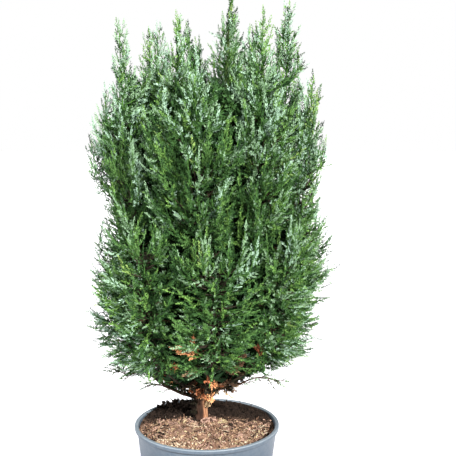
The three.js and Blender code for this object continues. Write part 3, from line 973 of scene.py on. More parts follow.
def make_pot(sizes, colours):
    body_top = sizes.top_radius - sizes.lip_step
    lip_foot = sizes.height - sizes.lip_drop
    profile = [
        (0, 0),
        (sizes.foot_radius, 0),
        (body_top, lip_foot),
        (sizes.top_radius, lip_foot + 0.0008),
        (sizes.top_radius, sizes.height),
        (body_top - sizes.wall + 0.0006, sizes.height),
        (body_top - sizes.wall, lip_foot),
        (sizes.foot_radius - sizes.wall, sizes.floor),
        (0, sizes.floor),
    ]
    bm = spun(profile, 128)
    rounded(bm, EDGE_ROUND, math.radians(30))
    for face in bm.faces:
        face.smooth = True
    pot = object_from(bm, "pot_shell", [pot_plastic(colours)])
    drills = bmesh.new()
    holes, ring, radius = DRAIN_HOLES
    for k in range(holes):
        turn = 2 * math.pi * (k + 0.5) / holes
        place = Matrix.Translation((ring * math.cos(turn), ring * math.sin(turn), 0))
        bmesh.ops.create_cone(
            drills, cap_ends=True, segments=32, radius1=radius, radius2=radius, depth=0.012, matrix=place
        )
    drill = object_from(drills, "drill", [])
    cut = pot.modifiers.new("drain holes", "BOOLEAN")
    cut.operation = "DIFFERENCE"
    cut.solver = "EXACT"
    cut.object = drill
    seen = pot.evaluated_get(bpy.context.evaluated_depsgraph_get())
    drilled = bpy.data.meshes.new_from_object(seen)
    pot.modifiers.clear()
    pot.data = drilled
    bpy.data.objects.remove(drill)
    pot.data.set_sharp_from_angle(angle=math.radians(40))
    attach(pot, "root")
    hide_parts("pot")


# Compost
class Ground:
    """The compost's surface: a mound at the trunk, with lumps."""

    def __init__(self, sizes, rng):
        self.sizes = sizes
        self.tables = [(rng.random((64, 64)), scale) for scale in (140, 330, 760)]

    def lumps(self, x, y):
        total = 0
        for weight, (table, scale) in zip((0.5, 0.32, 0.18), self.tables):
            u, v = x * scale + 31.5, y * scale + 31.5
            i, j = np.floor(u).astype(int), np.floor(v).astype(int)
            a, b = smooth(u - i), smooth(v - j)
            i, j = i % 64, j % 64
            k, m = (i + 1) % 64, (j + 1) % 64
            low = mix(table[i, j], table[k, j], a)
            high = mix(table[i, m], table[k, m], a)
            total = total + weight * mix(low, high, b)
        return 2 * total - 1

    def height(self, x, y):
        away = np.hypot(x - TRUNK_FOOT[0] * MM, y - TRUNK_FOOT[1] * MM)
        edge = self.sizes.edge + self.sizes.back_rise * smooth((y + 0.01) / 0.06)
        mound = mix(self.sizes.peak, edge, smooth((away - 0.016) / 0.062))
        calm = smooth(away / 0.02) * smooth((0.0775 - np.hypot(x, y)) / 0.004)
        return mound + self.sizes.lumps * self.lumps(x, y) * calm


def make_compost(sizes, pot, ground):
    def inner(z):
        share = (z - pot.floor) / (pot.height - pot.lip_drop - pot.floor)
        return mix(pot.foot_radius - pot.wall, pot.top_radius - pot.lip_step - pot.wall, share) - 0.0003

    low = pot.floor + 0.0003
    rim = inner(sizes.edge)
    rings = np.linspace(rim, 0, 62)
    profile = [(0, low), (inner(low), low)] + [(r, sizes.edge) for r in rings]
    bm = spun(profile, 150)
    for vert in bm.verts:
        away = math.hypot(vert.co.x, vert.co.y)
        if vert.co.z > low + 0.01 and away < rim + 0.0002:
            vert.co.z = float(ground.height(np.float64(vert.co.x), np.float64(vert.co.y)))
    for face in bm.faces:
        face.smooth = True
    soil = object_from(bm, "compost", [compost()])
    soil.data.set_sharp_from_angle(angle=math.radians(60))
    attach(soil, "root")
    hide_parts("soil")


def lump_shapes(kinds, points, seed):
    """Angular lumps: hulls of a few random points, as point and triangle arrays."""
    rng = np.random.default_rng(seed)
    found = []
    for _ in range(kinds):
        bm = bmesh.new()
        for place in unit(rng.normal(size=(points, 3))) * rng.uniform(0.8, 1, (points, 1)):
            bm.verts.new(place)
        hull = bmesh.ops.convex_hull(bm, input=bm.verts)
        bmesh.ops.delete(bm, geom=list(set(hull["geom_interior"])), context="VERTS")
        bmesh.ops.triangulate(bm, faces=bm.faces)
        bmesh.ops.recalc_face_normals(bm, faces=bm.faces)
        bm.verts.index_update()
        co = np.array([v.co[:] for v in bm.verts])
        tri = np.array([[v.index for v in f.verts] for f in bm.faces])
        bm.free()
        found.append((co, tri))
    return found


def strewn(shapes, places, sizes, tilts, slots, rng):
    """Copies of shapes at places, each with its size, tilt and slot, as joined arrays."""
    parts = []
    for k, (place, size, tilt, slot) in enumerate(zip(places, sizes, tilts, slots)):
        co, tri = shapes[k % len(shapes)]
        spin = Matrix.Rotation(rng.uniform(0, 6.283), 3, "Z")
        lean = Matrix.Rotation(tilt, 3, Vector((rng.normal(), rng.normal(), 0.01)).normalized())
        turn = np.array(lean @ spin)
        parts.append(((co * size) @ turn.T + place, tri, np.full(len(tri), slot)))
    return joined(parts)


# Litter: each finish's dark and light colour
LITTER_COLOURS = {
    "chip_brown": ((84, 60, 46), (134, 104, 84)),
    "chip_pinkish": ((116, 90, 78), (172, 142, 126)),
    "chip_tan": ((124, 98, 74), (180, 152, 124)),
    "chip_pale": ((160, 142, 118), (208, 194, 170)),
    "chip_dark": ((18, 13, 10), (46, 34, 26)),
    "straw": ((138, 122, 90), (196, 180, 142)),
}
PINKISH_CHIP, PALE_CHIP, DARK_CHIP = 1, 3, 4
CLEAR_OF_TRUNK = 0.011

# Clumps in the compost: how many, where, how widely strewn, half their sizes, how high, which finish. The
# dark clumps at the back-left and beside the trunk's foot are debris and painted shade as well.
CLODS = [
    (75, (-36, 53), (17, 8), (1.8, 4.2), 6.0, DARK_CHIP),
    (18, (-14, 7), (3, 4), (1.4, 2.8), 1.2, DARK_CHIP),
    (14, (3, 8), (3, 3), (0.9, 1.8), 1.0, PINKISH_CHIP),
    (34, (2, -1), (6, 3), (1.0, 2.2), 5.0, PINKISH_CHIP),
    (28, (-53, -25), (7, 8), (1.5, 3.2), 0.8, DARK_CHIP),
    (130, (-36, -50), (11, 8), (0.7, 1.7), 0.5, PALE_CHIP),
]


class Litter:
    """Strews small pieces over the compost."""

    def __init__(self, sizes, ground, rng):
        self.sizes, self.ground, self.rng = sizes, ground, rng
        self.finishes = [litter_finish(name, *tones) for name, tones in LITTER_COLOURS.items()]

    def spots(self, count, widest):
        """Places strewn evenly up to a distance from the middle, clear of the trunk."""
        turn = self.rng.uniform(0, 2 * np.pi, count)
        away = widest * np.sqrt(self.rng.random(count))
        x, y = away * np.cos(turn), away * np.sin(turn)
        clear = np.hypot(x - TRUNK_FOOT[0] * MM, y - TRUNK_FOOT[1] * MM) > CLEAR_OF_TRUNK
        return x[clear], y[clear]

    def laid(self, x, y, above):
        return np.stack([x, y, self.ground.height(x, y) + above], axis=1)

    def shaded(self, slots, y):
        """Painted shade: the finishes, with more of the dark one at the back, where the crown's shadow
        falls.
        """
        return np.where(self.rng.random(len(y)) < smooth(y / 0.02), DARK_CHIP, slots)

    def chips(self):
        rng = self.rng
        x, y = self.spots(self.sizes.chips, 0.070)
        half = rng.uniform(0.0009, 0.0027, len(x)) * rng.choice([1, 1, 1, 1.5], len(x))
        width, height = (half * rng.uniform(*share, len(x)) for share in ((0.4, 0.9), (0.18, 0.4)))
        size = np.stack([half, width, height], axis=1)
        place = self.laid(x, y, 0.4 * size[:, 2]) + [0, 0, 0.0003]
        slots = self.shaded(rng.choice(6, len(x), p=[0.3, 0.3, 0.2, 0.05, 0.12, 0.03]), y)
        return strewn(lump_shapes(12, 11, 3), place, size, rng.normal(0, 0.3, len(x)), slots, rng)

    def clods(self):
        rng = self.rng
        found = []
        for count, middle, spread, halves, high, slot in CLODS:
            x, y = (rng.normal(m, w, count) * MM for m, w in zip(middle, spread))
            drawn_in = np.minimum(1, 0.0705 / np.hypot(x, y))
            x, y = x * drawn_in, y * drawn_in
            half = rng.uniform(*halves, count) * MM
            size = half[:, None] * rng.uniform(0.55, 1, (count, 3))
            place = self.laid(x, y, rng.uniform(0.2, high, count) * MM)
            slots, tilts = np.full(count, slot), rng.normal(0, 0.6, count)
            found.append(strewn(lump_shapes(9, 12, 5), place, size, tilts, slots, rng))
        return found

    def crumbs(self):
        rng = self.rng
        x, y = self.spots(self.sizes.crumbs, 0.0735)
        half = rng.uniform(0.0004, 0.0013, len(x)) * rng.choice([1, 1, 1.5], len(x))
        size = half[:, None] * rng.uniform(0.6, 1.1, (len(x), 3))
        place = self.laid(x, y, 0.35 * half)
        front = smooth((-y - 0.03) / 0.03) * smooth((np.hypot(x, y) - 0.05) / 0.015)
        front = front * smooth((0.02 - x) / 0.03)
        pale = rng.random(len(x)) < 0.03 + 0.4 * front
        brown = rng.choice(5, len(x), p=[0.3, 0.3, 0.24, 0.02, 0.14])
        slots = self.shaded(np.where(pale, PALE_CHIP, brown), y)
        return strewn(lump_shapes(10, 8, 8), place, size, rng.normal(0, 1, len(x)), slots, rng)

    def fibres(self):
        rng = self.rng
        x, y = self.spots(self.sizes.fibres, 0.066)
        count = len(x)
        way = unit(np.stack([rng.normal(size=count), rng.normal(size=count), rng.normal(0, 0.12, count)], 1))
        long = rng.uniform(0.003, 0.011, count)[:, None, None]
        s = np.linspace(-0.5, 0.5, 6)[None, :, None]
        side = square_to(way, rng.normal(size=way.shape) * (1, 1, 0.3))
        flat = np.stack([x, y, 0 * x], axis=1)[:, None]
        bend = rng.uniform(-0.9, 0.9, (count, 1, 1))
        paths = flat + long * (s * way[:, None] + bend * s * s * side[:, None])
        paths[:, :, 2] += self.ground.height(paths[:, :, 0], paths[:, :, 1]) + 0.0006
        wide = rng.uniform(0.00018, 0.00042, count)[:, None] * [0.4, 0.9, 1, 1, 0.8, 0.3]
        slots = self.shaded(rng.choice([0, 1, 2, 3, 5], count, p=[0.2, 0.22, 0.26, 0.12, 0.2]), y)
        return tubes(paths, wide, 4, slots[:, None])

    def dry_sprigs(self, leaf_sizes):
        rng = self.rng
        x, y = self.spots(self.sizes.dry_sprigs, 0.069)
        heap = self.sizes.heaped_sprigs
        turn, away = rng.normal(2.15, 0.45, heap), rng.uniform(0.04, 0.07, heap)
        heaped = np.arange(len(x) + heap) >= len(x)
        x, y = np.append(x, away * np.cos(turn)), np.append(y, away * np.sin(turn))
        long = rng.uniform(0.004, 0.011, len(x)) + 0.003 * heaped
        rise = rng.normal(0.08, 0.1, len(x)) + rng.uniform(0, 0.9, len(x)) * heaped
        way = unit(np.column_stack([unit(rng.normal(size=(2, len(x))).T), rise]))
        toward = unit(way + rng.normal(0, 0.7, way.shape) * (1, 1, 0.1))
        place = self.laid(x, y, 0.0014)
        slots = self.shaded(rng.choice(6, len(x), p=[0.34, 0.2, 0.2, 0.04, 0.14, 0.08]), y)
        # Painted shade as well as dark litter: most sprigs heaped at the back-left take the dark finish.
        slots = np.where(heaped & (rng.random(len(x)) < 0.8), DARK_CHIP, slots)
        return branchlets(place, way, toward, long, np.full(len(x), 0.85), slots, leaf_sizes, rng)


def make_litter(sizes, leaf_sizes, ground, rng):
    """Bark chips with clods, crumbs, fibres and dry sprigs on the compost."""
    litter = Litter(sizes, ground, rng)

    def add(name, arrays, shade_smooth=True):
        piece = mesh_piece(name, *arrays, litter.finishes, shade_smooth)

    add("bark_chips", joined([litter.chips()] + litter.clods()), False)
    add("crumbs", litter.crumbs(), False)
    add("fibres", litter.fibres())
    add("dry_sprigs", litter.dry_sprigs(leaf_sizes))


# Trunk and boughs
def limb(bm, line, start, end, radius_at, sides, rings):
    """A capped cylinder, cut into rings and bent along a line between two shares of its length."""
    part = bmesh.new()
    bmesh.ops.create_cone(part, cap_ends=True, segments=sides, radius1=1, radius2=1, depth=1)
    upright = [e for e in part.edges if abs(e.verts[0].co.z - e.verts[1].co.z) > 0.5]
    bmesh.ops.subdivide_edges(part, edges=upright, cuts=rings - 1, use_grid_fill=False)
    co = np.array([v.co[:] for v in part.verts])
    share = mix(start, end, co[:, 2] + 0.5)
    angle = np.arctan2(co[:, 1], co[:, 0])
    _, out, across = line.frame(share)
    way = out * np.cos(angle)[:, None] - across * np.sin(angle)[:, None]
    place = line.at(share) + way * (radius_at(share, angle) * np.hypot(co[:, 0], co[:, 1]))[:, None]
    for vert, to in zip(part.verts, place):
        vert.co = to
    mesh = bpy.data.meshes.new("limb")
    part.to_mesh(mesh)
    part.free()
    bm.from_mesh(mesh)
    bpy.data.meshes.remove(mesh)


def relief(share, angle, line, around, along, seed):
    """Stringy ridges of bark, from -1 to 1."""
    run = share * line.length * along
    found = [
        noise.noise(Vector((math.cos(a) * around, math.sin(a) * around, r + seed)))
        + 0.5 * noise.noise(Vector((math.cos(a) * around * 2.3, math.sin(a) * around * 2.3, 2 * r - seed)))
        for a, r in zip(angle, run)
    ]
    return np.array(found)


def make_wood(colours):
    bm = bmesh.new()

    def trunk_radius(share, angle):
        height = share * TRUNK_LINE.length
        lobes = 1 + 0.3 * np.cos(5 * angle + 0.6)
        flare = 0.0028 * np.exp(-height / 0.016) * lobes
        smooth_radius = mix(TRUNK_RADIUS, TRUNK_TIP, share**0.85) + flare
        ridges = relief(share, angle, TRUNK_LINE, 3.2, 55, 3)
        return smooth_radius + 0.1 * smooth_radius * ridges

    foot = TRUNK_SUNK * 0.4 * MM / TRUNK_LINE.length
    limb(bm, TRUNK_LINE, foot, 1, trunk_radius, 36, 260)
    for number, one in enumerate(MASSES):
        if one.leader:
            continue

        def bough_radius(share, angle, one=one, number=number):
            gone = share * one.line.length
            collar = 1 + 0.35 * np.exp(-np.maximum(0, gone - 0.005) / 0.006)
            smooth_radius = mix(one.thick, BOUGH_TIP, np.minimum(share / one.start, 1.2)) * MM * collar
            ridges = relief(share, angle, one.line, 2.2, 60, 11 * number)
            return smooth_radius + 0.12 * smooth_radius * ridges

        limb(bm, one.line, 0, one.start + 0.004, bough_radius, 16, 34)
    bmesh.ops.recalc_face_normals(bm, faces=bm.faces)
    for face in bm.faces:
        face.smooth = True
    finish = bark("bark", colours.bark_dark, colours.bark_warm, colours.bark_pale)
    wood = object_from(bm, "bark_of_trunk_and_boughs", [finish])
    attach(wood, "root")
    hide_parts("trunk", *[f"bough_{m.name}" for m in MASSES if not m.leader])


# Foliage
TINTS = (
    "glaucous",
    "grey_green",
    "mid_green",
    "fresh_green",
    "yellow_green",
    "deep_green",
    "shade_green",
    "dry_brown",
)
GLAUCOUS, GREY, MID, FRESH, YELLOW, DEEP, SHADE, DRY = range(8)


def spray_tints(points, rng):
    """A tint for each spray, by its place: bluish above and to the right, fresher low down, deeper in the
    middle. The lighter, bluer tints at both sides and low on the left, and the deeper ones in the middle,
    are painted light and shade as well as the plant's own colour."""
    height = (points[:, 2] - 0.16) / 0.44
    top = smooth((height - 0.45) / 0.4)
    right = smooth((points[:, 0] + 0.02) / 0.12) * smooth(height / 0.3)
    low = np.exp(-(((height - 0.2) / 0.25) ** 2))
    middle = np.exp(-((points[:, 0] / 0.075) ** 2) - ((height - 0.4) / 0.35) ** 2)
    low_left = smooth((-points[:, 0] - 0.035) / 0.06) * smooth((0.5 - height) / 0.2)
    beside = smooth((np.abs(points[:, 0]) - 0.05) / 0.05)
    weights = np.stack(
        [
            0.06 + 2.2 * top + 0.4 * right + 0.6 * beside + 2.0 * low_left,
            1.1 + 0.5 * low + 0.6 * right + 2.0 * low_left + 1.5 * top,
            1.9 - 1.5 * top,
            0.45 + 0.25 * low + 1.3 * low_left + 0.4 * middle,
            0.05 + 0.06 * low + 0.14 * middle + 0.3 * low_left,
            0.4 + 9.5 * middle - 0.38 * low_left - 0.2 * top,
        ],
        axis=1,
    )
    share = np.cumsum(weights, axis=1) / weights.sum(axis=1, keepdims=True)
    return (rng.random(len(points))[:, None] > share).sum(axis=1)


def steepness(height):
    """Sprays stand steeply in the upper crown and lie flatter lower down."""
    return mix(0.35, 1, smooth((height - 0.19) / 0.25))


def shoot_paths(start, leave, tip, bulge):
    """Bowed paths from starts to tips, which leave along given ways."""
    length = np.linalg.norm(tip - start, axis=1)
    middle = start + leave * (bulge * length)[:, None]
    s = np.linspace(0, 1, 9)[None, :, None]
    return start[:, None] * (1 - s) ** 2 + 2 * middle[:, None] * s * (1 - s) + tip[:, None] * s * s


def grow_shoots(space, sizes, rng):
    """Shoots round each mass's line, at the places and with the lift of the solids' sprays."""
    starts, ways, sides, alongs, owners = [], [], [], [], []
    for number, one in enumerate(space.masses):
        count = int(one.run / sizes.shoot_gap)
        k = np.arange(1, count + 1)
        share = (k * STEP_ALONG) % 1
        point, along, out, across = one.place(share * one.run)
        angle = -2 * np.pi * ((k * STEP_ROUND) % 1)
        side = out * np.cos(angle)[:, None] - across * np.sin(angle)[:, None]
        lift = mix(*one.shape["lift"], share) * rng.uniform(0.3, 1.3, count) * steepness(point[:, 2])
        from_centre = unit((point - CENTRE_LINE) * (1, 1, 0))
        facing = np.sum(side * from_centre, axis=1)
        wanted = (k < sizes.inner_share * count) | (facing > -0.3) | (point[:, 2] > 0.47)
        starts.append(point[wanted])
        astray = rng.normal(0, 0.4, side.shape) * (1 - 0.7 * smooth((point[:, 2:] - 0.36) / 0.12))
        ways.append(unit(side + along * lift[:, None] + astray)[wanted])
        sides.append(side[wanted])
        alongs.append(unit(side + 0.3 * lift[:, None] * along)[wanted])
        owners.append(np.full(wanted.sum(), number))
    start, way, side, leave = (np.vstack(a) for a in (starts, ways, sides, alongs))
    owner = np.concatenate(owners)
    reach = space.room(start, way, owner, 0.0006)
    good = reach > 0.012
    start, way, side, leave, owner, reach = (a[good] for a in (start, way, side, leave, owner, reach))
    reach = reach * rng.uniform(0.82, 1.03, len(reach))
    tip = start + way * reach[:, None]
    paths = shoot_paths(start, leave, tip, 0.52)
    return Stems(paths, flat_to(way, side, rng), owner, spray_tints(tip, rng))


def flat_to(way, side, rng):
    """The face of each spray's flat, turned by a little."""
    twist = rng.uniform(-0.9, 0.9, len(way))
    return turned(square_to(way, np.cross(way, side)), way, twist + np.pi / 2)


def on_side(turn, height, deep):
    """Headings from the crown's middle, and the places at a depth in its side."""
    heading = np.stack([np.cos(turn), np.sin(turn), 0 * turn], axis=1)
    place = CENTRE_LINE + heading * 0.1 + [0, 0, 1] * height[:, None]
    return heading, place + heading * (depth_from_side(place) - deep)[:, None]


def side_shoots(space, sizes, rng):
    """Shoots to places strewn evenly over the crown's side, so that it closes between two masses too."""
    count = sizes.side_shoots
    k = np.arange(count)
    turn = 2 * np.pi * (k * STEP_ROUND % 1) + rng.normal(0, 0.02, count)
    height = mix(0.195, 0.475, k * STEP_ALONG % 1) + rng.exponential(0.014, count)
    deep = rng.triangular(-0.011, 0.012, 0.016, count)
    deep = np.where(rng.random(count) < sizes.fringe_share, rng.uniform(-0.014, -0.006, count), deep)
    heading, goal = on_side(turn, height, deep)
    above = rng.random(count) < 0.17
    inward = np.sqrt(rng.random(count)) * 0.084
    height = np.where(above, rng.uniform(0.475, 0.512, count), height)
    over_top = CENTRE_LINE + heading * inward[:, None] + [0, 0, 1] * height[:, None]
    goal = np.where(above[:, None], over_top, goal)
    return shoots_to(space, goal, rng)


def shoots_to(space, goal, rng):
    """Shoots that leave the nearest limb and bow up to the given places."""
    owner = space.nearest(goal)
    off, along, _ = space.measure(goal, owner)
    start, leave = np.empty_like(goal), np.empty_like(goal)
    for number, one in enumerate(space.masses):
        mine = owner == number
        low, high = one.shape["lift"]
        lift = rng.uniform(0.45 * low, 0.8 * high, mine.sum()) * steepness(goal[mine, 2])
        place = np.maximum(0.002, along[mine] - lift * off[mine])
        start[mine], way, *_ = one.place(place)
        side = square_to(way, goal[mine] - start[mine])
        leave[mine] = unit(side + 0.3 * lift[:, None] * way)
    way = unit(goal - start)
    good = (off > 0.008) & (off < 0.075) & (goal[:, 2] < 0.54)
    good &= np.linalg.norm(goal - start, axis=1) < 0.1
    good &= goal[:, 2] > underside(goal) + 0.004
    start, leave, goal, way, owner = (a[good] for a in (start, leave, goal, way, owner))
    paths = shoot_paths(start, leave, goal, rng.uniform(0.48, 0.62, len(goal)))
    return Stems(paths, flat_to(way, leave, rng), owner, spray_tints(goal, rng))


def gap_shoots(space, feathers, sizes, rng):
    """Shoots to the places on the crown's side that no feather comes near."""
    spots = np.vstack([feathers.paths[:, 2], feathers.paths[:, -1]])
    tree = KDTree(len(spots))
    for number, spot in enumerate(spots):
        tree.insert(spot, number)
    tree.balance()
    k = np.arange(sizes.gap_tries)
    turn = 2 * np.pi * (k * STEP_ROUND % 1)
    _, goal = on_side(turn, mix(0.2, 0.48, k * STEP_ALONG % 1), 0.01)
    gap = np.array([tree.find(spot)[2] for spot in goal])
    return shoots_to(space, goal[gap > sizes.gap_width], rng)


def together(first, second):
    """Two sets of stems as one."""
    kinds = ("paths", "flat", "owner", "tint")
    return Stems(*(np.concatenate([getattr(first, k), getattr(second, k)]) for k in kinds))


class Sprigs:
    """Branchlets as they are gathered: where each starts, its ways, its length, mass and tint."""

    def __init__(self, rng):
        self.rng = rng
        self.rows = []

    def note(self, stems, index, start, way, toward, length):
        self.rows.append((start, way, toward, length, stems.owner[index], stems.tint[index]))

    def beside(self, stems, first, gap, end, longest, roll):
        """Branchlets to both sides of stems."""
        rng = self.rng
        index, gone, side = spots_along(stems, first, gap, end, rng)
        start, along = stems.at(index, gone / stems.lengths[index])
        normal = square_to(along, stems.flat[index])
        beside = turned(np.cross(normal, along) * side[:, None], along, rng.normal(0, roll, len(index)))
        angle = rng.uniform(0.5, 0.95, len(index))
        way = unit(along * np.cos(angle)[:, None] + beside * np.sin(angle)[:, None])
        remaining = stems.lengths[index] - gone
        length = np.clip(0.4 * remaining + 0.0035, 0.004, longest) * rng.uniform(0.75, 1.2, len(index))
        self.note(stems, index, start, way, along, length)

    def at_tips(self, stems, low, high):
        """A branchlet that carries on each stem."""
        index = np.arange(len(stems))
        _, along = stems.at(index, np.ones(len(stems)))
        length = self.rng.uniform(low, high, len(stems))
        bent = unit(along + self.rng.normal(0, 0.12, along.shape))
        self.note(stems, index, stems.paths[:, -1], along, bent, length)

    def arrays(self):
        return [np.concatenate(column) for column in zip(*self.rows)]


def line_ends(space, run, rng):
    """The last run of each mass's line, as a shoot."""
    paths = []
    for one in space.masses:
        point, *_ = one.place(np.linspace(one.run - run, one.run - 0.01, 9))
        paths.append(point)
    paths = np.array(paths)
    way = unit(paths[:, -1] - paths[:, 0])
    flat = square_to(way, rng.normal(size=way.shape))
    return Stems(paths, flat, np.arange(len(paths)), spray_tints(paths[:, -1], rng))


# How feathers stand: their lean from the stem, their roll out of its flat, their bend, how far they may
# pass into the next mass's space, and how far out of the crown
SPIRE_FEATHERS = {"lean": (0.5, 0.75), "roll": 0.8, "bend": (0.2, 0.55), "margin": -0.004, "proud": 0.004}
SIDE_FEATHERS = {"lean": (0.45, 1.2), "roll": 1.4, "bend": (0.1, 1.1), "margin": -0.006, "proud": 0.013}
FEATHER_POINTS = 5


def stems_on(space, stems, spots, length, rng, lean, roll, bend, margin, proud):
    """Side stems that stay in their mass's space."""
    size = len(spots[0])
    angle = rng.uniform(*lean, size)
    turn = rng.normal(0, roll, size)
    bow = rng.uniform(*bend, size)

    def at_length(long):
        fixed = np.random.default_rng(7)
        return side_stems(stems, spots, angle, turn, long, bow, FEATHER_POINTS, fixed)

    return fitted(space, at_length, length, margin, proud)


def feathers_on(space, shoots, sizes, rng):
    """Feathers on the outer part of each shoot, fewer in the hollows and deep inside."""
    tip_depth = depth_in_crown(shoots.paths[:, -1])
    bare = shoots.lengths * np.where(tip_depth > 0.03, 0.45, 0.3)
    spots = spots_along(shoots, bare, sizes.feather_gap, 0.006, rng)
    remaining = shoots.lengths[spots[0]] - spots[1]
    length = np.clip(0.42 * remaining + 0.006, 0.007, 0.02) * rng.uniform(0.75, 1.25, len(remaining))
    feathers, good = stems_on(space, shoots, spots, length, rng, **SIDE_FEATHERS)
    deep = depth_in_crown(feathers.paths[:, -1])
    low = feathers.paths[:, -1, 2] < 0.47
    thin = rng.random(len(feathers))
    good &= ~(low & (deep > 0.07)) & ~(low & (deep > 0.04) & (thin < 0.55))
    good &= (deep > 0.026) | (rng.random(len(feathers)) < 0.4 + 0.85 * clumping(feathers.paths[:, -1]))
    return feathers.keep(good)


# Other tints for branchlets: the luck from and to, the depth in the crown from and to, and the tint. The
# deep and shade green deep in the crown, and on a share of the outer sprays, are older sprays and painted
# shade as well.
RETINTED = [
    ((0, 0.05), (-1, 0.02), FRESH),
    ((0.77, 1), (-1, 0.028), DEEP),
    ((0.84, 1), (-1, 0.028), SHADE),
    ((0.73, 0.77), (-1, 0.028), GREY),
    ((0.35, 1), (0.028, 1), DEEP),
    ((0.2, 1), (0.045, 1), SHADE),
    ((0.88, 1), (0.05, 1), DRY),
]
SPIRE_TINTS_FROM, SPIRE_TINT_LUCK = 0.52, (0.05, 0.16)
YOUNG_TWIGS_FROM = 0.45
LINE_RINGS, BROWN_RINGS = 26, 17
HOLLOW_DEPTH = 0.032


def spire_feathers(space, ends, rng):
    """Feathers up to the tips of the spires."""
    spots = spots_along(ends, 0.004, 0.0075, 0.004, rng)
    remaining = ends.lengths[spots[0]] - spots[1]
    length = np.clip(0.5 * remaining + 0.007, 0.008, 0.026) * rng.uniform(0.8, 1.15, len(remaining))
    found, good = stems_on(space, ends, spots, length, rng, **SPIRE_FEATHERS)
    return found.keep(good)


def green_sprigs(shoots, ends, feathers, sizes, rng):
    """Branchlets on feathers, on shoots and at every tip: their arrays, and how coarse each is."""
    sprigs = Sprigs(rng)
    sprigs.beside(feathers, 0.002, gap=sizes.branchlet_gap, end=0.001, longest=0.0078, roll=0.5)
    sprigs.at_tips(feathers, 0.006, 0.0105)
    outer = shoots.keep(depth_in_crown(shoots.paths[:, -1]) < 0.06)
    sprigs.beside(outer, 0.5 * outer.lengths, gap=0.0036, end=0.002, longest=0.008, roll=1.4)
    sprigs.at_tips(outer, 0.009, 0.015)
    sprigs.beside(ends, 0.3 * ends.lengths, gap=0.006, end=0.018, longest=0.0075, roll=1.4)
    sprigs.beside(ends, ends.lengths - 0.024, gap=0.0028, end=0.0, longest=0.009, roll=1.5)
    sprigs.at_tips(ends, 0.01, 0.013)
    start, way, toward, length, owner, tint = sprigs.arrays()
    height, depth, luck = start[:, 2], depth_in_crown(start), rng.random(len(start))
    for (low, high), (near, far), kind in RETINTED:
        tint = np.where((low <= luck) & (luck < high) & (near <= depth) & (depth < far), kind, tint)
    low, high = SPIRE_TINT_LUCK
    tint = np.where((low < luck) & (luck < high) & (height > SPIRE_TINTS_FROM), MID, tint)
    coarse = mix(1, 2.2, smooth((depth - 0.014) / 0.014)) * mix(1, 1.12, smooth((height - 0.44) / 0.05))
    kept = (depth < 0.025) | (rng.random(len(start)) < 0.45)
    return [a[kept] for a in (start, way, toward, length, owner, tint, coarse)]


def dim_sprigs(space, shoots, sizes, rng):
    """Large dark needles inside the crown, on shoots and on boughs: mass, start, way, length and tint. Their
    shade and deep green is inner foliage and painted shade that fills the crown's hollows.
    """
    inner = shoots.keep(shoots.paths[:, -1, 2] < 0.5)
    index, gone, _ = spots_along(inner, 0.002, 0.0015, 0.006, rng)
    begin, along = inner.at(index, gone / inner.lengths[index])
    aim = unit(along * 0.6 + rng.normal(size=along.shape))
    long = rng.uniform(0.009, 0.018, len(index))
    kind = np.where(rng.random(len(index)) < 0.08, DRY, SHADE)
    end = begin + aim * long[:, None]
    depth = depth_in_crown(end)
    shallow = depth < HOLLOW_DEPTH
    kind = np.where(shallow & (kind == SHADE), DEEP, kind)
    long = long * np.where(shallow, 0.5, 1 + 0.8 * smooth((depth - 0.045) / 0.025))
    back = (depth > 0.017) & (end[:, 2] < 0.485) & (end[:, 2] > underside(end))
    found = [(inner.owner[index][back], begin[back], aim[back], long[back], kind[back])]
    for number, one in enumerate(space.masses):
        share = rng.uniform(0.05, 0.8, sizes.bough_sprigs)
        begin = one.line.at(share)
        aim = unit(rng.normal(size=begin.shape))
        long = rng.uniform(0.01, 0.022, len(share))
        kind = np.where(rng.random(len(share)) < 0.15, DRY, SHADE)
        end = begin + aim * long[:, None]
        back = (depth_in_crown(end) > 0.024) & (end[:, 2] < 0.475) & (end[:, 2] > underside(end))
        found.append((np.full(back.sum(), number), begin[back], aim[back], long[back], kind[back]))
    return [np.concatenate(column) for column in zip(*found)]


def mass_twigs(one, shoots, feathers):
    """The twigs of a mass: its line, its shoots, brown at the foot, and its feathers."""
    line, *_ = one.place(np.linspace(0, one.run - 0.014, LINE_RINGS))
    green = (np.arange(1, LINE_RINGS) > BROWN_RINGS) | (line[None, 1:, 2] > YOUNG_TWIGS_FROM)
    young = shoots.paths[:, :1, 2] > YOUNG_TWIGS_FROM
    return joined(
        [
            tapered(line[None], BOUGH_TIP, 0.5, 6, green.astype(int)),
            tapered(shoots.paths[:, ::2], 0.85, 0.4, 3, np.where(young, 1, [0, 0, 1, 1])),
            tapered(feathers.paths[:, ::2], 0.5, 0.35, 3, 1),
        ]
    )


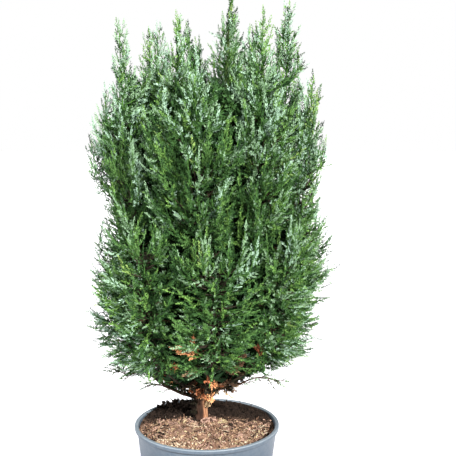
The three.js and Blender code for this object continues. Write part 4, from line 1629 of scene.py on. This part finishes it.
def make_foliage(space, sizes, colours, rng):
    shoots = together(grow_shoots(space, sizes, rng), side_shoots(space, sizes, rng))
    ends = line_ends(space, 0.085, rng)
    feathers = feathers_on(space, shoots, sizes, rng)
    fill = gap_shoots(space, feathers, sizes, rng)
    feathers = together(feathers, feathers_on(space, fill, sizes, rng))
    shoots = together(shoots, fill)
    feathers = together(feathers, spire_feathers(space, ends, rng))
    other = spray_tints(feathers.paths[:, -1], rng)
    feathers.tint = np.where(rng.random(len(feathers)) < 0.3, other, feathers.tint)
    start, way, toward, length, owner, tint, coarse = green_sprigs(shoots, ends, feathers, sizes, rng)
    dim = dim_sprigs(space, shoots, sizes, rng)

    leaf_finishes = [leaf_finish(name, colours) for name in TINTS]
    twig_finishes = [
        twig_bark("twig_brown", (30, 26, 18), (56, 46, 32)),
        twig_bark("twig_green", (40, 78, 26), (70, 108, 42)),
    ]
    for number, one in enumerate(space.masses):
        own = (a[owner == number] for a in (start, way, toward, length, coarse, tint))
        leaves = branchlets(*own, sizes, rng)
        _, begin, aim, long, kind = (a[dim[0] == number] for a in dim)
        roll = rng.uniform(0, np.pi, len(begin))
        wide = np.where(kind == DEEP, 0.16, 0.2) * long
        leaves = joined([leaves, needles(begin, aim, long, wide, roll, kind)])
        piece = mesh_piece(f"needles_{one.name}", *leaves, leaf_finishes)
        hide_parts(f"foliage_{one.name}")

        own = (stems.keep(stems.owner == number) for stems in (shoots, feathers))
        piece = mesh_piece(f"twigs_{one.name}", *mass_twigs(one, *own), twig_finishes)
        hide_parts(f"foliage_{one.name}")


# Base twigs
def limb_start(goal, back):
    """A place on the nearest limb, a little further down it than its closest to a goal."""
    found = []
    for line in [TRUNK_LINE] + [m.line for m in MASSES if not m.leader]:
        share = np.linspace(0.01, 0.5, 160)
        off = np.linalg.norm(line.at(share) - goal, axis=1)
        found.append((off.min(), share[off.argmin()], line))
    _, share, line = min(found, key=lambda one: one[0])
    return line.at(max(share - back / line.length, 0.01))


def dead_stems(rng):
    """Short dead stems on the trunk and the feet of the boughs."""
    rows = list(DEAD_SPRAYS)
    for turn in rng.uniform(0, 2 * np.pi, 190):
        away, height = rng.uniform(6, 48), rng.uniform(162, 180)
        # Most of these dead stems are near-black: old dead sprays, and painted shade under the crown as
        # well.
        kind = rng.choice(DEAD_KINDS, p=[0.05, 0.11, 0.2, 0.06, 0.58])
        rows.append((away * math.cos(turn) - 4, away * math.sin(turn) + 6, height + 0.5 * away, kind))
    goal = np.array([row[:3] for row in rows]) * MM
    start = np.array([limb_start(one, rng.uniform(0.006, 0.014)) for one in goal])
    way = unit(goal - start)
    leave = unit(way + rng.normal(0, 0.35, way.shape))
    tint = np.array([DEAD_KINDS.index(row[3]) for row in rows])
    flat = square_to(way, rng.normal(size=way.shape))
    return Stems(shoot_paths(start, leave, goal, 0.6), flat, np.zeros(len(rows), int), tint)


def low_stems():
    """The low twigs, from the limb that each grows on."""
    paths = []
    for row in LOW_TWIGS:
        points = np.array(row) * MM
        line = curve_through(np.vstack([limb_start(points[0], 0.008), points]), 12)
        paths.append(line.at(np.linspace(0, 1, 9)))
    count = len(paths)
    flat = np.tile([0.0, -1.0, 0.15], (count, 1))
    return Stems(np.array(paths), flat, np.zeros(count, int), np.full(count, DEEP))


def make_base_twigs(sizes, colours, rng):
    """The dead sprays at the trunk, the low green sprays, and the twigs that carry both."""
    dead = dead_stems(rng)
    dry = Sprigs(rng)
    dry.beside(dead, 0.4 * dead.lengths, gap=0.0015, end=0.0, longest=0.009, roll=1.4)
    dry.at_tips(dead, 0.006, 0.01)
    start, way, toward, length, _, tint = dry.arrays()
    curled = unit(toward + rng.normal(0, 0.9, toward.shape))
    coarse = np.where(tint == DEAD_KINDS.index("orange"), 1.7, 1.3)
    leaves = branchlets(start, way, curled, length, coarse, tint, sizes, rng)
    piece = mesh_piece("dead_sprays", *leaves, [leaf_finish(f"dead_{kind}", colours) for kind in DEAD_KINDS])

    low = low_stems()
    spots = spots_along(low, 0.35 * low.lengths, 0.0075, 0.003, rng)
    count = len(spots[0])
    lean, roll, bow = rng.uniform(0.5, 1.0, count), rng.normal(0, 0.7, count), rng.uniform(0.1, 0.6, count)
    side = side_stems(low, spots, lean, roll, rng.uniform(0.008, 0.017, count), bow, 5, rng)
    green = Sprigs(rng)
    green.beside(side, 0.002, gap=sizes.branchlet_gap, end=0.001, longest=0.007, roll=0.6)
    green.at_tips(side, 0.006, 0.009)
    green.beside(low, 0.7 * low.lengths, gap=0.004, end=0.0, longest=0.007, roll=1.2)
    green.at_tips(low, 0.008, 0.012)
    start, way, toward, length, _, _ = green.arrays()
    tint = rng.choice([GREY, MID, DEEP, SHADE, DRY], len(start), p=[0.25, 0.2, 0.3, 0.15, 0.1])
    leaves = branchlets(start, way, toward, length, np.ones(len(start)), tint, sizes, rng)
    piece = mesh_piece("low_sprays", *leaves, [leaf_finish(name, colours) for name in TINTS])

    radii = ((dead, 0.75, 0.4), (low, 1.2, 0.5), (side, 0.5, 0.35))
    parts = [tapered(stems.paths, thick, thin, 5, 0) for stems, thick, thin in radii]
    piece = mesh_piece("base_twigs", *joined(parts), [twig_bark("dead_twig", (44, 32, 24), (96, 72, 52))])


# Stage
def add_sun(name, strength, spread, side, colour=(1, 1, 1)):
    """A sun lamp that shines from a side."""
    lamp = bpy.data.lights.new(name, "SUN")
    lamp.energy = strength
    lamp.angle = math.radians(spread)
    lamp.color = colour
    made = bpy.data.objects.new(name, lamp)
    made.rotation_euler = Vector(side).to_track_quat("Z", "Y").to_euler()
    bpy.context.scene.collection.objects.link(made)


def pale_surround(strength):
    """A world that lights softly and looks white to the camera."""
    world = bpy.data.worlds.new("pale_surround")
    world.use_nodes = True
    nodes, links = world.node_tree.nodes, world.node_tree.links
    fill, seen = nodes["Background"], nodes.new("ShaderNodeBackground")
    fill.inputs["Color"].default_value = (0.9, 0.95, 1.0, 1)
    fill.inputs["Strength"].default_value = strength
    seen.inputs["Color"].default_value = (1, 1, 1, 1)
    path, chosen = nodes.new("ShaderNodeLightPath"), nodes.new("ShaderNodeMixShader")
    links.new(path.outputs["Is Camera Ray"], chosen.inputs[0])
    links.new(fill.outputs[0], chosen.inputs[1])
    links.new(seen.outputs[0], chosen.inputs[2])
    links.new(chosen.outputs[0], nodes["World Output"].inputs["Surface"])
    return world


def make_stage(light):
    scene = bpy.context.scene
    bm = bmesh.new()
    bmesh.ops.create_grid(bm, x_segments=1, y_segments=1, size=6)
    glow = {"Emission_Color": (0.95, 0.95, 1.0, 1), "Emission_Strength": 0.7}
    finish = Finish("pale_floor", (203, 203, 206), 0.8, Specular_IOR_Level=0.2, **glow)
    floor = object_from(bm, "floor", [finish.material])

    scene.world = pale_surround(light.sky)
    add_sun("sun", light.sun, 4, (0.5, -0.7, 0.45), (1.0, 0.97, 0.94))
    add_sun("left_fill", light.left_fill, 30, (-0.85, -0.35, 0.42))

    eye = bpy.data.cameras.new("camera")
    eye.lens = CAMERA_LENS
    eye.sensor_width = 36
    camera = bpy.data.objects.new("camera", eye)
    camera.location = CAMERA_PLACE
    camera.rotation_euler = (math.radians(CAMERA_TILT), 0, 0)
    scene.collection.objects.link(camera)
    scene.camera = camera
    scene.view_settings.view_transform = "Standard"


# Operators
class CYPRESS_OT_stage(bpy.types.Operator):
    """Make the floor, the light and the camera"""

    bl_idname = "cypress.stage"
    bl_label = "Stage"

    def execute(self, context):
        make_stage(context.scene.cypress.light)
        return {"FINISHED"}


class CYPRESS_OT_pot(bpy.types.Operator):
    """Make the pot with its lip and drain holes"""

    bl_idname = "cypress.pot"
    bl_label = "Pot"

    def execute(self, context):
        settings = context.scene.cypress
        make_pot(settings.pot, settings.colours)
        return {"FINISHED"}


class CYPRESS_OT_compost(bpy.types.Operator):
    """Make the compost with the chips, crumbs and fibres on it"""

    bl_idname = "cypress.compost"
    bl_label = "Compost"

    def execute(self, context):
        settings = context.scene.cypress
        rng = np.random.default_rng(COMPOST_SEED)
        ground = Ground(settings.soil, rng)
        make_compost(settings.soil, settings.pot, ground)
        make_litter(settings.soil, settings.foliage, ground, rng)
        return {"FINISHED"}


class CYPRESS_OT_wood(bpy.types.Operator):
    """Make the bark of the trunk and boughs"""

    bl_idname = "cypress.wood"
    bl_label = "Trunk and boughs"

    def execute(self, context):
        make_wood(context.scene.cypress.colours)
        return {"FINISHED"}


class CYPRESS_OT_foliage(bpy.types.Operator):
    """Grow the twigs and needles of every mass"""

    bl_idname = "cypress.foliage"
    bl_label = "Foliage"

    def execute(self, context):
        settings = context.scene.cypress
        rng = np.random.default_rng(FOLIAGE_SEED)
        make_foliage(Space(MASSES), settings.foliage, settings.colours, rng)
        return {"FINISHED"}


class CYPRESS_OT_base_twigs(bpy.types.Operator):
    """Make the low twigs and the dead sprays near the trunk"""

    bl_idname = "cypress.base_twigs"
    bl_label = "Base twigs"

    def execute(self, context):
        settings = context.scene.cypress
        rng = np.random.default_rng(BASE_SEED)
        make_base_twigs(settings.foliage, settings.colours, rng)
        return {"FINISHED"}


class CYPRESS_PT_panel(bpy.types.Panel):
    """Lists the pieces of the potted cypress"""

    bl_idname = "CYPRESS_PT_panel"
    bl_label = "Potted Cypress"
    bl_space_type = "VIEW_3D"
    bl_region_type = "UI"
    bl_category = "Cypress"

    def draw(self, context):
        for operator in OPERATORS:
            self.layout.operator(operator.bl_idname)
        for group in ("pot", "soil", "foliage", "colours", "light"):
            box = self.layout.box()
            box.label(text=group.capitalize())
            values = getattr(context.scene.cypress, group)
            for key in values.__annotations__:
                box.prop(values, key)


GROUPS = (PotSizes, SoilSizes, FoliageSizes, Colours, StageLight, CypressSettings)
OPERATORS = (
    CYPRESS_OT_stage,
    CYPRESS_OT_pot,
    CYPRESS_OT_compost,
    CYPRESS_OT_wood,
    CYPRESS_OT_foliage,
    CYPRESS_OT_base_twigs,
)


def register():
    for one in (*GROUPS, *OPERATORS, CYPRESS_PT_panel):
        bpy.utils.register_class(one)
    bpy.types.Scene.cypress = bpy.props.PointerProperty(type=CypressSettings)


def unregister():
    del bpy.types.Scene.cypress
    for one in reversed((*GROUPS, *OPERATORS, CYPRESS_PT_panel)):
        bpy.utils.unregister_class(one)


def main():
    register()
    bpy.ops.cypress.stage()
    bpy.ops.cypress.pot()
    bpy.ops.cypress.compost()
    bpy.ops.cypress.wood()
    bpy.ops.cypress.foliage()
    bpy.ops.cypress.base_twigs()


if __name__ == "__main__":
    main()
